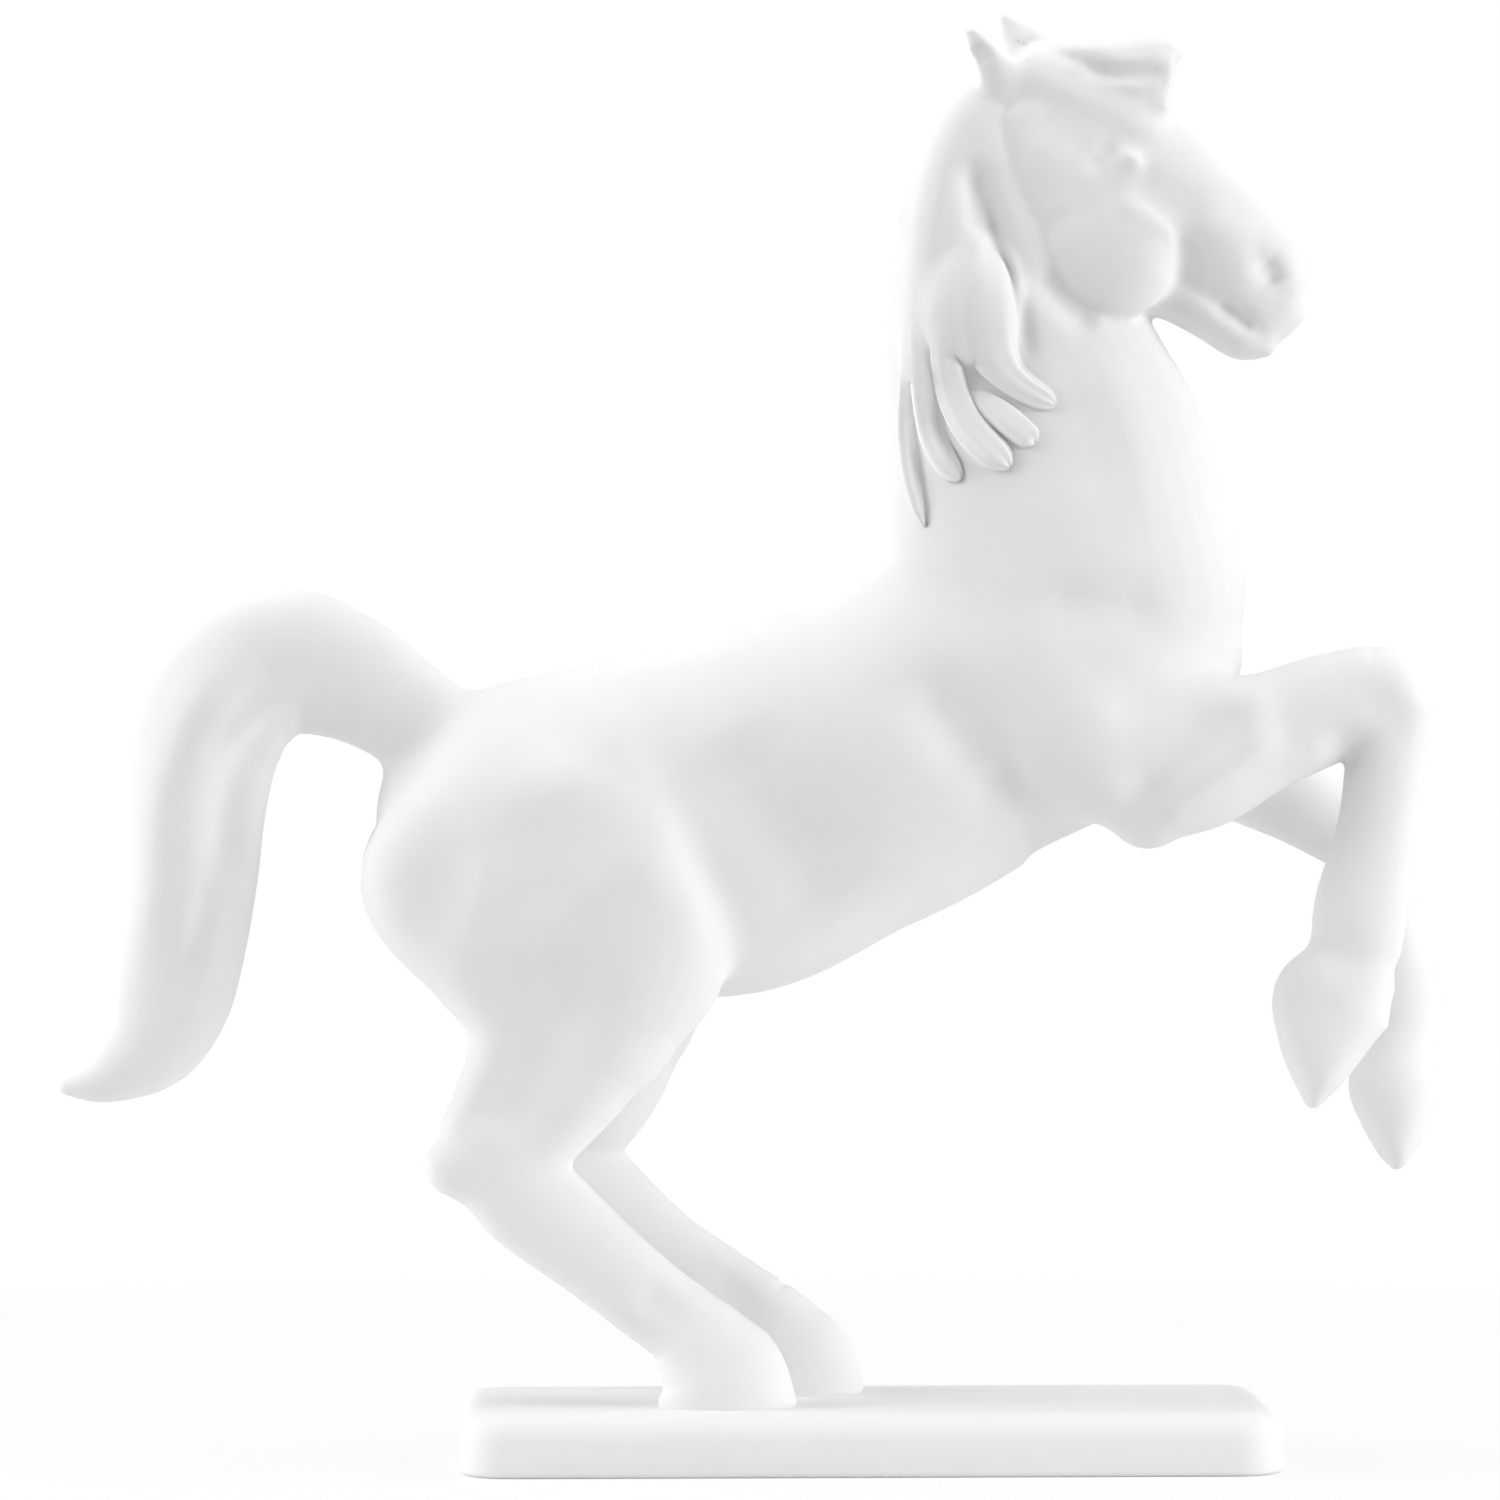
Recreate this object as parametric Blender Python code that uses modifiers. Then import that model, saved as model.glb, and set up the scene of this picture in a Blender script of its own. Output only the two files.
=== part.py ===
"""A white biscuit-porcelain horse rearing on a rectangular plinth.

The horse is modelled whole, as the clay original is, from oval limbs and muscle
masses that are blended into one skin.  The skin is then parted at flat seams into
the pieces that are cast one by one and stuck together with slip: trunk, neck, head,
four legs and tail.  Ears, forelock and mane locks are pressed by themselves and
seated on the head and neck, and the hind hooves stand on a hollow plinth.

Metres, +Z up, the horse faces +X, its right side towards -Y.  The origin lies under
the middle of the whole figure, on the surface that the plinth stands on.
Heights of the horse are measured from the top of the plinth.
"""

import math
from collections import namedtuple

import bmesh
import bpy
from mathutils import Matrix, Vector
from mathutils.bvhtree import BVHTree

# Plinth
PLINTH_LENGTH = 0.1360
PLINTH_DEPTH = 0.0560
PLINTH_HEIGHT = 0.0105
PLINTH_CENTRE_X = 0.0198
PLINTH_CORNER_RADIUS = 0.0085
PLINTH_TOP_RADIUS = 0.0042
PLINTH_FOOT_RADIUS = 0.0010
PLINTH_WALL = 0.0040

# Casting and joining: the slip seam, the cast wall, the stub that keys each limb, the vent
SEAM = 0.0003
CAST_WALL = 0.0045
STUB_RADIUS = 0.0024
STUB_LENGTH = 0.0035
STUB_ROOT = 0.0020
VENT_RADIUS = 0.0011
VENT_X = -0.0010

# The horse: its height over the plinth, which sets every length and height of its side view.
# The sections further down are drawn at 1:1 for this height, and are brought to size from it.
HORSE_HEIGHT = 0.2307
TO_SIZE = HORSE_HEIGHT / 0.2307

# Widths of the main masses, from the middle plane
BARREL_HALF_WIDTH = 0.0215
LOIN_HALF_WIDTH = 0.0193
HAUNCH_HALF_WIDTH = 0.0135
BREAST_HALF_WIDTH = 0.0200
NECK_HALF_WIDTH = 0.0145
BROW_HALF_WIDTH = 0.0098
MUZZLE_HALF_WIDTH = 0.0068
HAUNCH_OFFSET = 0.0115
BUTTOCK_OFFSET = 0.0098
SHOULDER_OFFSET = 0.0123
CHEEK_OFFSET = 0.0055
EYE_OFFSET = 0.0082
HIND_TRACK = 0.0122
FORE_TRACK = 0.0118

# How far the left hind leg stands in front of the right one
LEFT_HOCK_FORWARD = 0.0100
LEFT_HOOF_FORWARD = 0.0122

# Blending of the skin
SKIN_VOXEL = 0.0012
SKIN_SMOOTHING = 5
SKIN_KEEP = 0.060
HAIR_VOXEL = 0.0008
HAIR_SMOOTHING = 3
HAIR_KEEP = 0.10
HAIR_LIFT = 0.0004

BISCUIT_COLOUR = (0.84, 0.84, 0.83, 1.0)
BISCUIT_ROUGHNESS = 0.72

GROUND = PLINTH_HEIGHT + SEAM

# One oval section as drawn: its centre, its half-height in the side view and its half-width
Oval = namedtuple("Oval", "x z high wide y", defaults=[0.0])
# A flat seam as drawn: a point on it and its direction in the side view
Joint = namedtuple("Joint", "x z y ahead_x ahead_z")


# Scene and collections
def clear_scene():
    for obj in list(bpy.data.objects):
        bpy.data.objects.remove(obj)


clear_scene()
figure = bpy.data.collections.new("porcelain_horse")
bpy.context.scene.collection.children.link(figure)
cutters = bpy.data.collections.new("cutters")
bpy.context.scene.collection.children.link(cutters)


def piece(name, mesh):
    """A named piece of the figure with its own biscuit material."""
    obj = bpy.data.objects.new(name, mesh)
    figure.objects.link(obj)
    biscuit = bpy.data.materials.new(name + "_biscuit")
    biscuit.use_nodes = True
    shader = biscuit.node_tree.nodes["Principled BSDF"]
    shader.inputs["Base Color"].default_value = BISCUIT_COLOUR
    shader.inputs["Roughness"].default_value = BISCUIT_ROUGHNESS
    shader.inputs["Metallic"].default_value = 0.0
    mesh.materials.clear()
    mesh.materials.append(biscuit)
    for face in mesh.polygons:
        face.material_index = 0
    return obj


def helper(name, mesh):
    """A cutter or guide that isn't part of the figure."""
    obj = bpy.data.objects.new(name, mesh)
    cutters.objects.link(obj)
    obj.hide_render = True
    obj.display_type = "WIRE"
    return obj


def boolean(obj, tool, operation):
    change = obj.modifiers.new(tool.name, "BOOLEAN")
    change.operation = operation
    change.solver = "EXACT"
    change.object = tool


def finished(obj):
    """The object's mesh with its modifiers applied."""
    bpy.context.view_layer.update()
    graph = bpy.context.evaluated_depsgraph_get()
    return bpy.data.meshes.new_from_object(obj.evaluated_get(graph))


def mesh_of(bm, name):
    mesh = bpy.data.meshes.new(name)
    bm.to_mesh(mesh)
    bm.free()
    return mesh


# Oval lofts
def curve_value(p0, p1, p2, p3, t):
    slope = (p2 - p0) * t
    bend = (2 * p0 - 5 * p1 + 4 * p2 - p3) * t ** 2
    twist = (3 * p1 - p0 - 3 * p2 + p3) * t ** 3
    return 0.5 * (2 * p1 + slope + bend + twist)


def to_size(oval):
    return oval._replace(x=oval.x * TO_SIZE, z=oval.z * TO_SIZE, high=oval.high * TO_SIZE)


def ovals_along(stations, steps):
    """Ovals at even steps on the smooth curve through the stations, brought to size."""
    stations = [to_size(oval) for oval in stations]
    path = [stations[0], *stations, stations[-1]]
    fine = []
    for i in range(1, len(path) - 2):
        four = path[i - 1:i + 3]
        for k in range(steps):
            fine.append(Oval(*(curve_value(*values, k / steps) for values in zip(*four))))
    fine.append(stations[-1])
    return fine


def tube(ovals, centres, facings, sides, cap):
    """A closed limb through oval sections, with domed ends; facings point across each section."""
    bm = bmesh.new()
    last = len(ovals) - 1
    rings = []
    for i, oval in enumerate(ovals):
        ahead = (centres[min(i + 1, last)] - centres[max(i - 1, 0)]).normalized()
        side = (facings[i] - ahead * ahead.dot(facings[i])).normalized()
        up = side.cross(ahead)
        rises = [0.0]
        if i == 0:
            rises = [-0.96, -0.8, -0.45, 0.0]
        if i == last:
            rises = [0.0, 0.45, 0.8, 0.96]
        for rise in rises:
            shrink = math.sqrt(1 - rise ** 2)
            axes = (up * oval.high * shrink, side * oval.wide * shrink, ahead)
            frame = Matrix(axes).transposed().to_4x4()
            frame.translation = centres[i] + ahead * rise * cap * min(oval.high, oval.wide)
            end = abs(rise) > 0.9
            ring = bmesh.ops.create_circle(bm, cap_ends=end, segments=sides, radius=1, matrix=frame)
            rings.append(ring["verts"])
    for first, second in zip(rings, rings[1:]):
        for k in range(sides):
            n = (k + 1) % sides
            bm.faces.new((first[k], first[n], second[n], second[k]))
    bmesh.ops.recalc_face_normals(bm, faces=bm.faces)
    return mesh_of(bm, "tube")


def loft(stations, sides=20, steps=4, cap=0.7):
    """A limb whose sections stand square to the side view."""
    ovals = ovals_along(stations, steps)
    centres = [Vector((o.x, o.y, o.z + GROUND)) for o in ovals]
    return tube(ovals, centres, [Vector((0, 1, 0))] * len(ovals), sides, cap)


def ball(x, z, y, radii):
    bm = bmesh.new()
    size = Matrix.Diagonal((radii[0] * TO_SIZE, radii[1], radii[2] * TO_SIZE, 1))
    place = Matrix.Translation((x * TO_SIZE, y, z * TO_SIZE + GROUND)) @ size
    bmesh.ops.create_uvsphere(bm, u_segments=24, v_segments=16, radius=1, matrix=place)
    return mesh_of(bm, "ball")


def blend(name, forms, voxel, smoothing, keep):
    """Overlapping forms blended into one closed skin."""
    bm = bmesh.new()
    for form in forms:
        bm.from_mesh(form)
    obj = helper(name, mesh_of(bm, name))
    merge = obj.modifiers.new("merge", "REMESH")
    merge.mode = "VOXEL"
    merge.voxel_size = voxel
    smooth = obj.modifiers.new("smooth", "SMOOTH")
    smooth.factor = 0.5
    smooth.iterations = smoothing
    thin = obj.modifiers.new("thin", "DECIMATE")
    thin.ratio = keep
    return finished(obj)


def grown(name, mesh):
    """A cutter one seam larger than a mesh."""
    copy = mesh.copy()
    for vertex, normal in zip(copy.vertices, [n.vector.copy() for n in mesh.vertex_normals]):
        vertex.co += normal * SEAM
    return helper(name, copy)


# Body, neck and head
TRUNK = [
    Oval(-0.0513, 0.0923, 0.0165, 0.0145),
    Oval(-0.0413, 0.0957, 0.0225, 0.0175),
    Oval(-0.0313, 0.0965, 0.0250, LOIN_HALF_WIDTH),
    Oval(-0.0180, 0.0965, 0.0277, LOIN_HALF_WIDTH),
    Oval(-0.0042, 0.0968, 0.0298, 0.0205),
    Oval(0.0122, 0.1032, 0.0285, BARREL_HALF_WIDTH),
    Oval(0.0237, 0.1075, 0.0273, BARREL_HALF_WIDTH),
    Oval(0.0362, 0.1147, 0.0273, 0.0205),
    Oval(0.0512, 0.1182, 0.0238, BREAST_HALF_WIDTH),
    Oval(0.0653, 0.1223, 0.0200, 0.0180),
    Oval(0.0745, 0.1265, 0.0117, 0.0110),
]
NECK = [
    Oval(0.0503, 0.1165, 0.0220, 0.0180),
    Oval(0.0530, 0.1298, 0.0298, 0.0195),
    Oval(0.0514, 0.1437, 0.0289, 0.0175),
    Oval(0.0494, 0.1578, 0.0268, NECK_HALF_WIDTH),
    Oval(0.0465, 0.1685, 0.0240, 0.0122),
    Oval(0.0434, 0.1785, 0.0214, 0.0108),
    Oval(0.0410, 0.1895, 0.0188, 0.0098),
    Oval(0.0388, 0.2002, 0.0146, 0.0090),
    Oval(0.0390, 0.2093, 0.0104, 0.0080),
    Oval(0.0410, 0.2155, 0.0062, 0.0062),
]
HEAD = [
    Oval(0.0455, 0.2125, 0.0100, 0.0078),
    Oval(0.0500, 0.2065, 0.0150, 0.0092),
    Oval(0.0572, 0.1992, 0.0158, BROW_HALF_WIDTH),
    Oval(0.0672, 0.1978, 0.0154, 0.0090),
    Oval(0.0748, 0.1940, 0.0125, 0.0076),
    Oval(0.0803, 0.1895, 0.0113, 0.0068),
    Oval(0.0848, 0.1844, 0.0104, MUZZLE_HALF_WIDTH),
    Oval(0.0884, 0.1812, 0.0074, 0.0060),
    Oval(0.0905, 0.1797, 0.0038, 0.0040),
]
CHIN = [
    Oval(0.0620, 0.1865, 0.0060, 0.0060),
    Oval(0.0700, 0.1846, 0.0048, 0.0054),
    Oval(0.0770, 0.1808, 0.0044, 0.0050),
    Oval(0.0825, 0.1775, 0.0044, 0.0046),
    Oval(0.0862, 0.1767, 0.0033, 0.0038),
]
CREST_HAIR = [
    Oval(0.0362, 0.2120, 0.0040, 0.0030, -0.0045),
    Oval(0.0342, 0.2050, 0.0060, 0.0040, -0.0055),
    Oval(0.0332, 0.1960, 0.0075, 0.0042, -0.0063),
    Oval(0.0330, 0.1870, 0.0082, 0.0044, -0.0068),
    Oval(0.0325, 0.1780, 0.0080, 0.0044, -0.0070),
    Oval(0.0315, 0.1700, 0.0070, 0.0036, -0.0076),
]
MANE_SHEET = [
    Oval(0.0380, 0.1930, 0.0050, 0.0022, -0.0086),
    Oval(0.0380, 0.1870, 0.0075, 0.0028, -0.0100),
    Oval(0.0365, 0.1800, 0.0088, 0.0030, -0.0108),
    Oval(0.0355, 0.1730, 0.0080, 0.0026, -0.0116),
    Oval(0.0355, 0.1670, 0.0055, 0.0018, -0.0122),
]
TAIL = [
    Oval(-0.0513, 0.1100, 0.0090, 0.0060),
    Oval(-0.0588, 0.1155, 0.0094, 0.0065),
    Oval(-0.0672, 0.1204, 0.0108, 0.0075),
    Oval(-0.0763, 0.1226, 0.0124, 0.0085),
    Oval(-0.0854, 0.1190, 0.0130, 0.0092),
    Oval(-0.0905, 0.1105, 0.0130, 0.0095),
    Oval(-0.0926, 0.0998, 0.0125, 0.0095),
    Oval(-0.0933, 0.0882, 0.0118, 0.0093),
    Oval(-0.0944, 0.0765, 0.0109, 0.0088),
    Oval(-0.0964, 0.0665, 0.0101, 0.0080),
    Oval(-0.1001, 0.0591, 0.0083, 0.0068),
    Oval(-0.1073, 0.0539, 0.0047, 0.0045),
    Oval(-0.1138, 0.0523, 0.0016, 0.0020),
]


def brow(side):
    """The raised band from the ear to the brow, over the eye."""
    return loft([
        Oval(0.0440, 0.2200, 0.0030, 0.0024, side * 0.0046),
        Oval(0.0505, 0.2175, 0.0038, 0.0026, side * 0.0054),
        Oval(0.0570, 0.2145, 0.0040, 0.0026, side * 0.0060),
        Oval(0.0635, 0.2112, 0.0038, 0.0025, side * 0.0060),
        Oval(0.0690, 0.2080, 0.0026, 0.0018, side * 0.0054),
    ])


def shoulder(side):
    y = side * SHOULDER_OFFSET
    return loft([
        Oval(0.0437, 0.1265, 0.0110, 0.0070, y),
        Oval(0.0512, 0.1140, 0.0145, 0.0102, y),
        Oval(0.0605, 0.1040, 0.0100, 0.0090, y),
    ])


def buttock(side):
    y = side * BUTTOCK_OFFSET
    return loft([
        Oval(-0.0485, 0.0990, 0.0080, 0.0080, y),
        Oval(-0.0530, 0.0872, 0.0118, 0.0105, y),
        Oval(-0.0447, 0.0737, 0.0100, 0.0098, y),
        Oval(-0.0376, 0.0650, 0.0085, 0.0085, y),
    ])


# Legs
def hind_leg(side, hock, hoof):
    """Thigh, tendon, cannon and foot of one hind leg, standing forward by so much at hock and hoof."""
    y = side * HIND_TRACK
    hip = side * HAUNCH_OFFSET
    thigh = [
        Oval(-0.0405, 0.1095, 0.0120, 0.0060, hip - side * 0.0025),
        Oval(-0.0385, 0.1015, 0.0190, 0.0095, hip),
        Oval(-0.0350, 0.0940, 0.0245, 0.0120, hip),
        Oval(-0.0318, 0.0865, 0.0285, HAUNCH_HALF_WIDTH, hip),
        Oval(-0.0275 + 0.2 * hock, 0.0745, 0.0250, 0.0126, y),
        Oval(-0.0286 + 0.4 * hock, 0.0645, 0.0178, 0.0104, y),
        Oval(-0.0312 + 0.6 * hock, 0.0585, 0.0144, 0.0090, y),
        Oval(-0.0346 + 0.8 * hock, 0.0525, 0.0125, 0.0080, y),
        Oval(-0.0386 + 0.9 * hock, 0.0466, 0.0108, 0.0069, y),
        Oval(-0.0442 + hock, 0.0418, 0.0084, 0.0060, y),
        Oval(-0.0512 + hock, 0.0386, 0.0046, 0.0046, y),
    ]
    tendon = [
        Oval(-0.0435 + 0.3 * hock, 0.0700, 0.0080, 0.0070, y),
        Oval(-0.0408 + 0.5 * hock, 0.0640, 0.0068, 0.0066, y),
        Oval(-0.0418 + 0.6 * hock, 0.0580, 0.0052, 0.0056, y),
        Oval(-0.0442 + 0.85 * hock, 0.0510, 0.0050, 0.0050, y),
        Oval(-0.0475 + hock, 0.0450, 0.0042, 0.0046, y),
    ]
    cannon = [
        Oval(-0.0495 + hock, 0.0388, 0.0054, 0.0048, y),
        Oval(-0.0440 + hock, 0.0402, 0.0088, 0.0060, y),
        Oval(-0.0375 + hock, 0.0348, 0.0088, 0.0056, y),
        Oval(-0.0248 + hock, 0.0240, 0.0074, 0.0050, y),
        Oval(-0.0160 + hoof, 0.0168, 0.0070, 0.0052, y),
        Oval(-0.0110 + hoof, 0.0132, 0.0072, 0.0058, y),
    ]
    foot = [
        Oval(-0.0105 + hoof, 0.0135, 0.0072, 0.0058, y),
        Oval(-0.0075 + hoof, 0.0092, 0.0088, 0.0065, y),
        Oval(-0.0050 + hoof, 0.0047, 0.0108, 0.0076, y),
        Oval(-0.0036 + hoof, -0.0020, 0.0116, 0.0082, y),
    ]
    return [loft(thigh), loft(tendon), loft(cannon), loft(foot, cap=0.2)]


def right_foreleg():
    y = -FORE_TRACK
    forearm = [
        Oval(0.0645, 0.1055, 0.0130, 0.0095, y),
        Oval(0.0745, 0.1078, 0.0126, 0.0090, y),
        Oval(0.0853, 0.1116, 0.0102, 0.0076, y),
        Oval(0.0965, 0.1154, 0.0090, 0.0066, y),
        Oval(0.1030, 0.1170, 0.0088, 0.0064, y),
    ]
    cannon = [
        Oval(0.1060, 0.1160, 0.0072, 0.0060, y),
        Oval(0.1052, 0.1065, 0.0066, 0.0053, y),
        Oval(0.1037, 0.0948, 0.0065, 0.0050, y),
        Oval(0.1014, 0.0832, 0.0077, 0.0051, y),
        Oval(0.1005, 0.0748, 0.0078, 0.0056, y),
    ]
    foot = [
        Oval(0.1003, 0.0723, 0.0078, 0.0060, y),
        Oval(0.0966, 0.0663, 0.0101, 0.0071, y),
        Oval(0.0950, 0.0598, 0.0078, 0.0071, y),
        Oval(0.0940, 0.0540, 0.0046, 0.0056, y),
        Oval(0.0933, 0.0498, 0.0014, 0.0028, y),
    ]
    knee = ball(0.1042, 0.1172, y, (0.0076, 0.0064, 0.0082))
    return [loft(forearm), knee, loft(cannon), loft(foot)]


def left_foreleg():
    y = FORE_TRACK
    forearm = [
        Oval(0.0653, 0.1045, 0.0120, 0.0090, y),
        Oval(0.0778, 0.1050, 0.0085, 0.0085, y),
        Oval(0.0903, 0.1006, 0.0076, 0.0070, y),
        Oval(0.1023, 0.0950, 0.0078, 0.0064, y),
    ]
    cannon = [
        Oval(0.1045, 0.0945, 0.0073, 0.0060, y),
        Oval(0.1064, 0.0848, 0.0064, 0.0053, y),
        Oval(0.1082, 0.0765, 0.0061, 0.0050, y),
        Oval(0.1102, 0.0665, 0.0067, 0.0054, y),
        Oval(0.1102, 0.0598, 0.0058, 0.0056, y),
    ]
    foot = [
        Oval(0.1102, 0.0598, 0.0058, 0.0058, y),
        Oval(0.1092, 0.0520, 0.0077, 0.0070, y),
        Oval(0.1094, 0.0452, 0.0058, 0.0068, y),
        Oval(0.1096, 0.0398, 0.0030, 0.0050, y),
        Oval(0.1098, 0.0378, 0.0012, 0.0026, y),
    ]
    return [loft(forearm), loft(cannon), loft(foot)]


forms = [loft(TRUNK), loft(NECK), loft(CREST_HAIR), loft(MANE_SHEET), loft(HEAD), loft(CHIN), loft(TAIL)]
for side in (-1, 1):
    forms.append(shoulder(side))
    forms.append(buttock(side))
    forms.append(brow(side))
    forms.append(ball(0.0597, 0.1920, side * CHEEK_OFFSET, (0.0122, 0.0055, 0.0126)))
    forms.append(ball(0.0672, 0.1930, side * CHEEK_OFFSET, (0.0048, 0.0040, 0.0056)))
    forms.append(ball(0.0635, 0.2063, side * EYE_OFFSET, (0.0027, 0.0022, 0.0023)))
forms += hind_leg(-1, 0.0, 0.0)
forms += hind_leg(1, LEFT_HOCK_FORWARD, LEFT_HOOF_FORWARD)
forms += right_foreleg()
forms += left_foreleg()
skin = blend("skin", forms, SKIN_VOXEL, SKIN_SMOOTHING, SKIN_KEEP)

# Flat seams between the castings
NECK_JOINT = Joint(0.0530, 0.1345, 0.0, 0.15, 0.99)
JOINTS = {
    "head": Joint(0.0453, 0.1872, 0.0, 0.42, 0.91),
    "tail": Joint(-0.0570, 0.1112, 0.0, -0.76, 0.65),
    "right_foreleg": Joint(0.0805, 0.1080, -FORE_TRACK, 0.97, -0.25),
    "left_foreleg": Joint(0.0800, 0.1040, FORE_TRACK, 0.97, -0.25),
    "right_hind_leg": Joint(-0.0283, 0.0615, -HIND_TRACK, 0.13, -0.99),
    "left_hind_leg": Joint(-0.0283 + 0.4 * LEFT_HOCK_FORWARD, 0.0615, HIND_TRACK, 0.13, -0.99),
}


def joint_frame(joint):
    point = Vector((joint.x * TO_SIZE, joint.y, joint.z * TO_SIZE + GROUND))
    ahead = Vector((joint.ahead_x, 0, joint.ahead_z)).normalized()
    return point, ahead


def faces_at(bm, point, ahead):
    """The closed band of faces that a seam crosses, nearest to the joint."""
    crossed = set()
    for face in bm.faces:
        offs = [(v.co - point).dot(ahead) for v in face.verts]
        if min(offs) < 0.499 * SEAM and max(offs) > -0.499 * SEAM:
            crossed.add(face)
    bands = []
    while crossed:
        todo = [crossed.pop()]
        band = []
        while todo:
            face = todo.pop()
            band.append(face)
            for corner in face.verts:
                for other in corner.link_faces:
                    if other in crossed:
                        crossed.remove(other)
                        todo.append(other)
        bands.append(band)

    def distance(band):
        centre = sum((f.calc_center_median() for f in band), Vector()) / len(band)
        return (centre - point).length

    return min(bands, key=distance)


def open_seam(bm, joint):
    """Takes a flat slice, one seam wide, out of the skin at a joint and closes both faces."""
    point, ahead = joint_frame(joint)
    for half in (-0.5, 0.5):
        faces = faces_at(bm, point, ahead)
        edges = {e for f in faces for e in f.edges}
        corners = {v for f in faces for v in f.verts}
        bmesh.ops.bisect_plane(
            bm, geom=[*corners, *edges, *faces], dist=0.00004, use_snap_center=True,
            plane_co=point + ahead * half * SEAM, plane_no=ahead)
    bmesh.ops.delete(bm, geom=faces_at(bm, point, ahead), context="FACES")
    rim = [e for e in bm.edges if e.is_boundary]
    bmesh.ops.holes_fill(bm, edges=rim, sides=0)


def islands(bm):
    """The separate bodies in a mesh, as lists of faces."""
    left = set(bm.faces)
    bodies = []
    while left:
        todo = [left.pop()]
        body = []
        while todo:
            face = todo.pop()
            body.append(face)
            for edge in face.edges:
                for other in edge.link_faces:
                    if other in left:
                        left.remove(other)
                        todo.append(other)
        bodies.append(body)
    return bodies


bm = bmesh.new()
bm.from_mesh(skin)
bmesh.ops.bisect_plane(
    bm, geom=[*bm.verts, *bm.edges, *bm.faces], dist=0.00004, use_snap_center=True,
    plane_co=(0, 0, GROUND), plane_no=(0, 0, -1), clear_outer=True)
bmesh.ops.holes_fill(bm, edges=[e for e in bm.edges if e.is_boundary], sides=0)
for joint in (NECK_JOINT, *JOINTS.values()):
    open_seam(bm, joint)
bmesh.ops.recalc_face_normals(bm, faces=bm.faces)

# Each casting is known by a point in its middle
MIDDLES = {
    "trunk": Vector((0.005, 0.000, 0.097)),
    "neck": Vector((0.051, 0.000, 0.160)),
    "head": Vector((0.061, 0.000, 0.195)),
    "tail": Vector((-0.085, 0.000, 0.098)),
    "right_foreleg": Vector((0.094, -0.012, 0.094)),
    "left_foreleg": Vector((0.099, 0.012, 0.080)),
    "right_hind_leg": Vector((-0.024, -0.012, 0.032)),
    "left_hind_leg": Vector((-0.015, 0.012, 0.032)),
}


def body_mesh(body):
    """A mesh of its own for one body of the parted skin."""
    part = bmesh.new()
    made = {}
    for face in body:
        for vertex in face.verts:
            if vertex not in made:
                made[vertex] = part.verts.new(vertex.co)
        part.faces.new([made[v] for v in face.verts]).smooth = True
    bmesh.ops.recalc_face_normals(part, faces=part.faces)
    return mesh_of(part, "casting")


castings = {}
for body in islands(bm):
    corners = {v for f in body for v in f.verts}
    if len(corners) < 50:
        continue
    middle = sum((v.co for v in corners), Vector()) / len(corners) - Vector((0, 0, GROUND))
    name = min(MIDDLES, key=lambda n: (MIDDLES[n] * TO_SIZE - middle).length)
    castings[name] = piece(name, body_mesh(body))
bm.free()


# Hollow of the trunk and neck, left when the slip is drained
def hollow(stations):
    return [o._replace(high=o.high - CAST_WALL, wide=o.wide - CAST_WALL) for o in stations]


trunk_core = helper("trunk_core", loft(hollow(TRUNK[1:-2]), 14, 2))
neck_core = helper("neck_core", loft(hollow(NECK[:5]), 14, 2))
for name in ("trunk", "neck"):
    boolean(castings[name], trunk_core, "DIFFERENCE")
    boolean(castings[name], neck_core, "DIFFERENCE")

# Vent through which the hollow breathes in the kiln
bm = bmesh.new()
floor = min(o.z - o.high for o in TRUNK)
bmesh.ops.create_cone(
    bm, cap_ends=True, segments=16, radius1=VENT_RADIUS, radius2=VENT_RADIUS, depth=4 * CAST_WALL,
    matrix=Matrix.Translation((VENT_X * TO_SIZE, 0, floor * TO_SIZE + GROUND)))
boolean(castings["trunk"], helper("vent", mesh_of(bm, "vent")), "DIFFERENCE")


# Stubs that key each limb in its socket
def stub(name, joint, radius, length):
    point, ahead = joint_frame(joint)
    bm = bmesh.new()
    turn = ahead.to_track_quat("Z", "Y").to_matrix().to_4x4()
    middle = point + ahead * 0.5 * (STUB_ROOT - length)
    bmesh.ops.create_cone(
        bm, cap_ends=True, segments=20, radius1=radius, radius2=radius, depth=length + STUB_ROOT,
        matrix=Matrix.Translation(middle) @ turn)
    return helper(name, mesh_of(bm, name))


for name, joint in JOINTS.items():
    holder = castings["neck" if name == "head" else "trunk"]
    boolean(castings[name], stub(name + "_stub", joint, STUB_RADIUS, STUB_LENGTH), "UNION")
    socket = stub(name + "_socket", joint, STUB_RADIUS + SEAM, STUB_LENGTH + SEAM)
    boolean(holder, socket, "DIFFERENCE")

# Hair and ears, seated on the skin
skin_seat = grown("skin_seat", skin)
skin_tree = BVHTree.FromPolygons([v.co for v in skin.vertices], [f.vertices for f in skin.polygons])


def evened(vectors):
    """Each vector averaged with its neighbours along the lock."""
    groups = [vectors[max(i - 2, 0):i + 3] for i in range(len(vectors))]
    return [sum(group, Vector()) / len(group) for group in groups]


def lock(stations):
    """A lock of hair that lies on the right side of the neck."""
    ovals = ovals_along(stations, 3)
    centres = []
    facings = []
    for oval in ovals:
        start = Vector((oval.x, -PLINTH_LENGTH, oval.z + GROUND))
        point, normal, _, _ = skin_tree.ray_cast(start, Vector((0, 1, 0)))
        centres.append(point + normal * HAIR_LIFT)
        facings.append(-normal)
    return tube(ovals, evened(centres), evened(facings), 12, 0.7)


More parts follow.
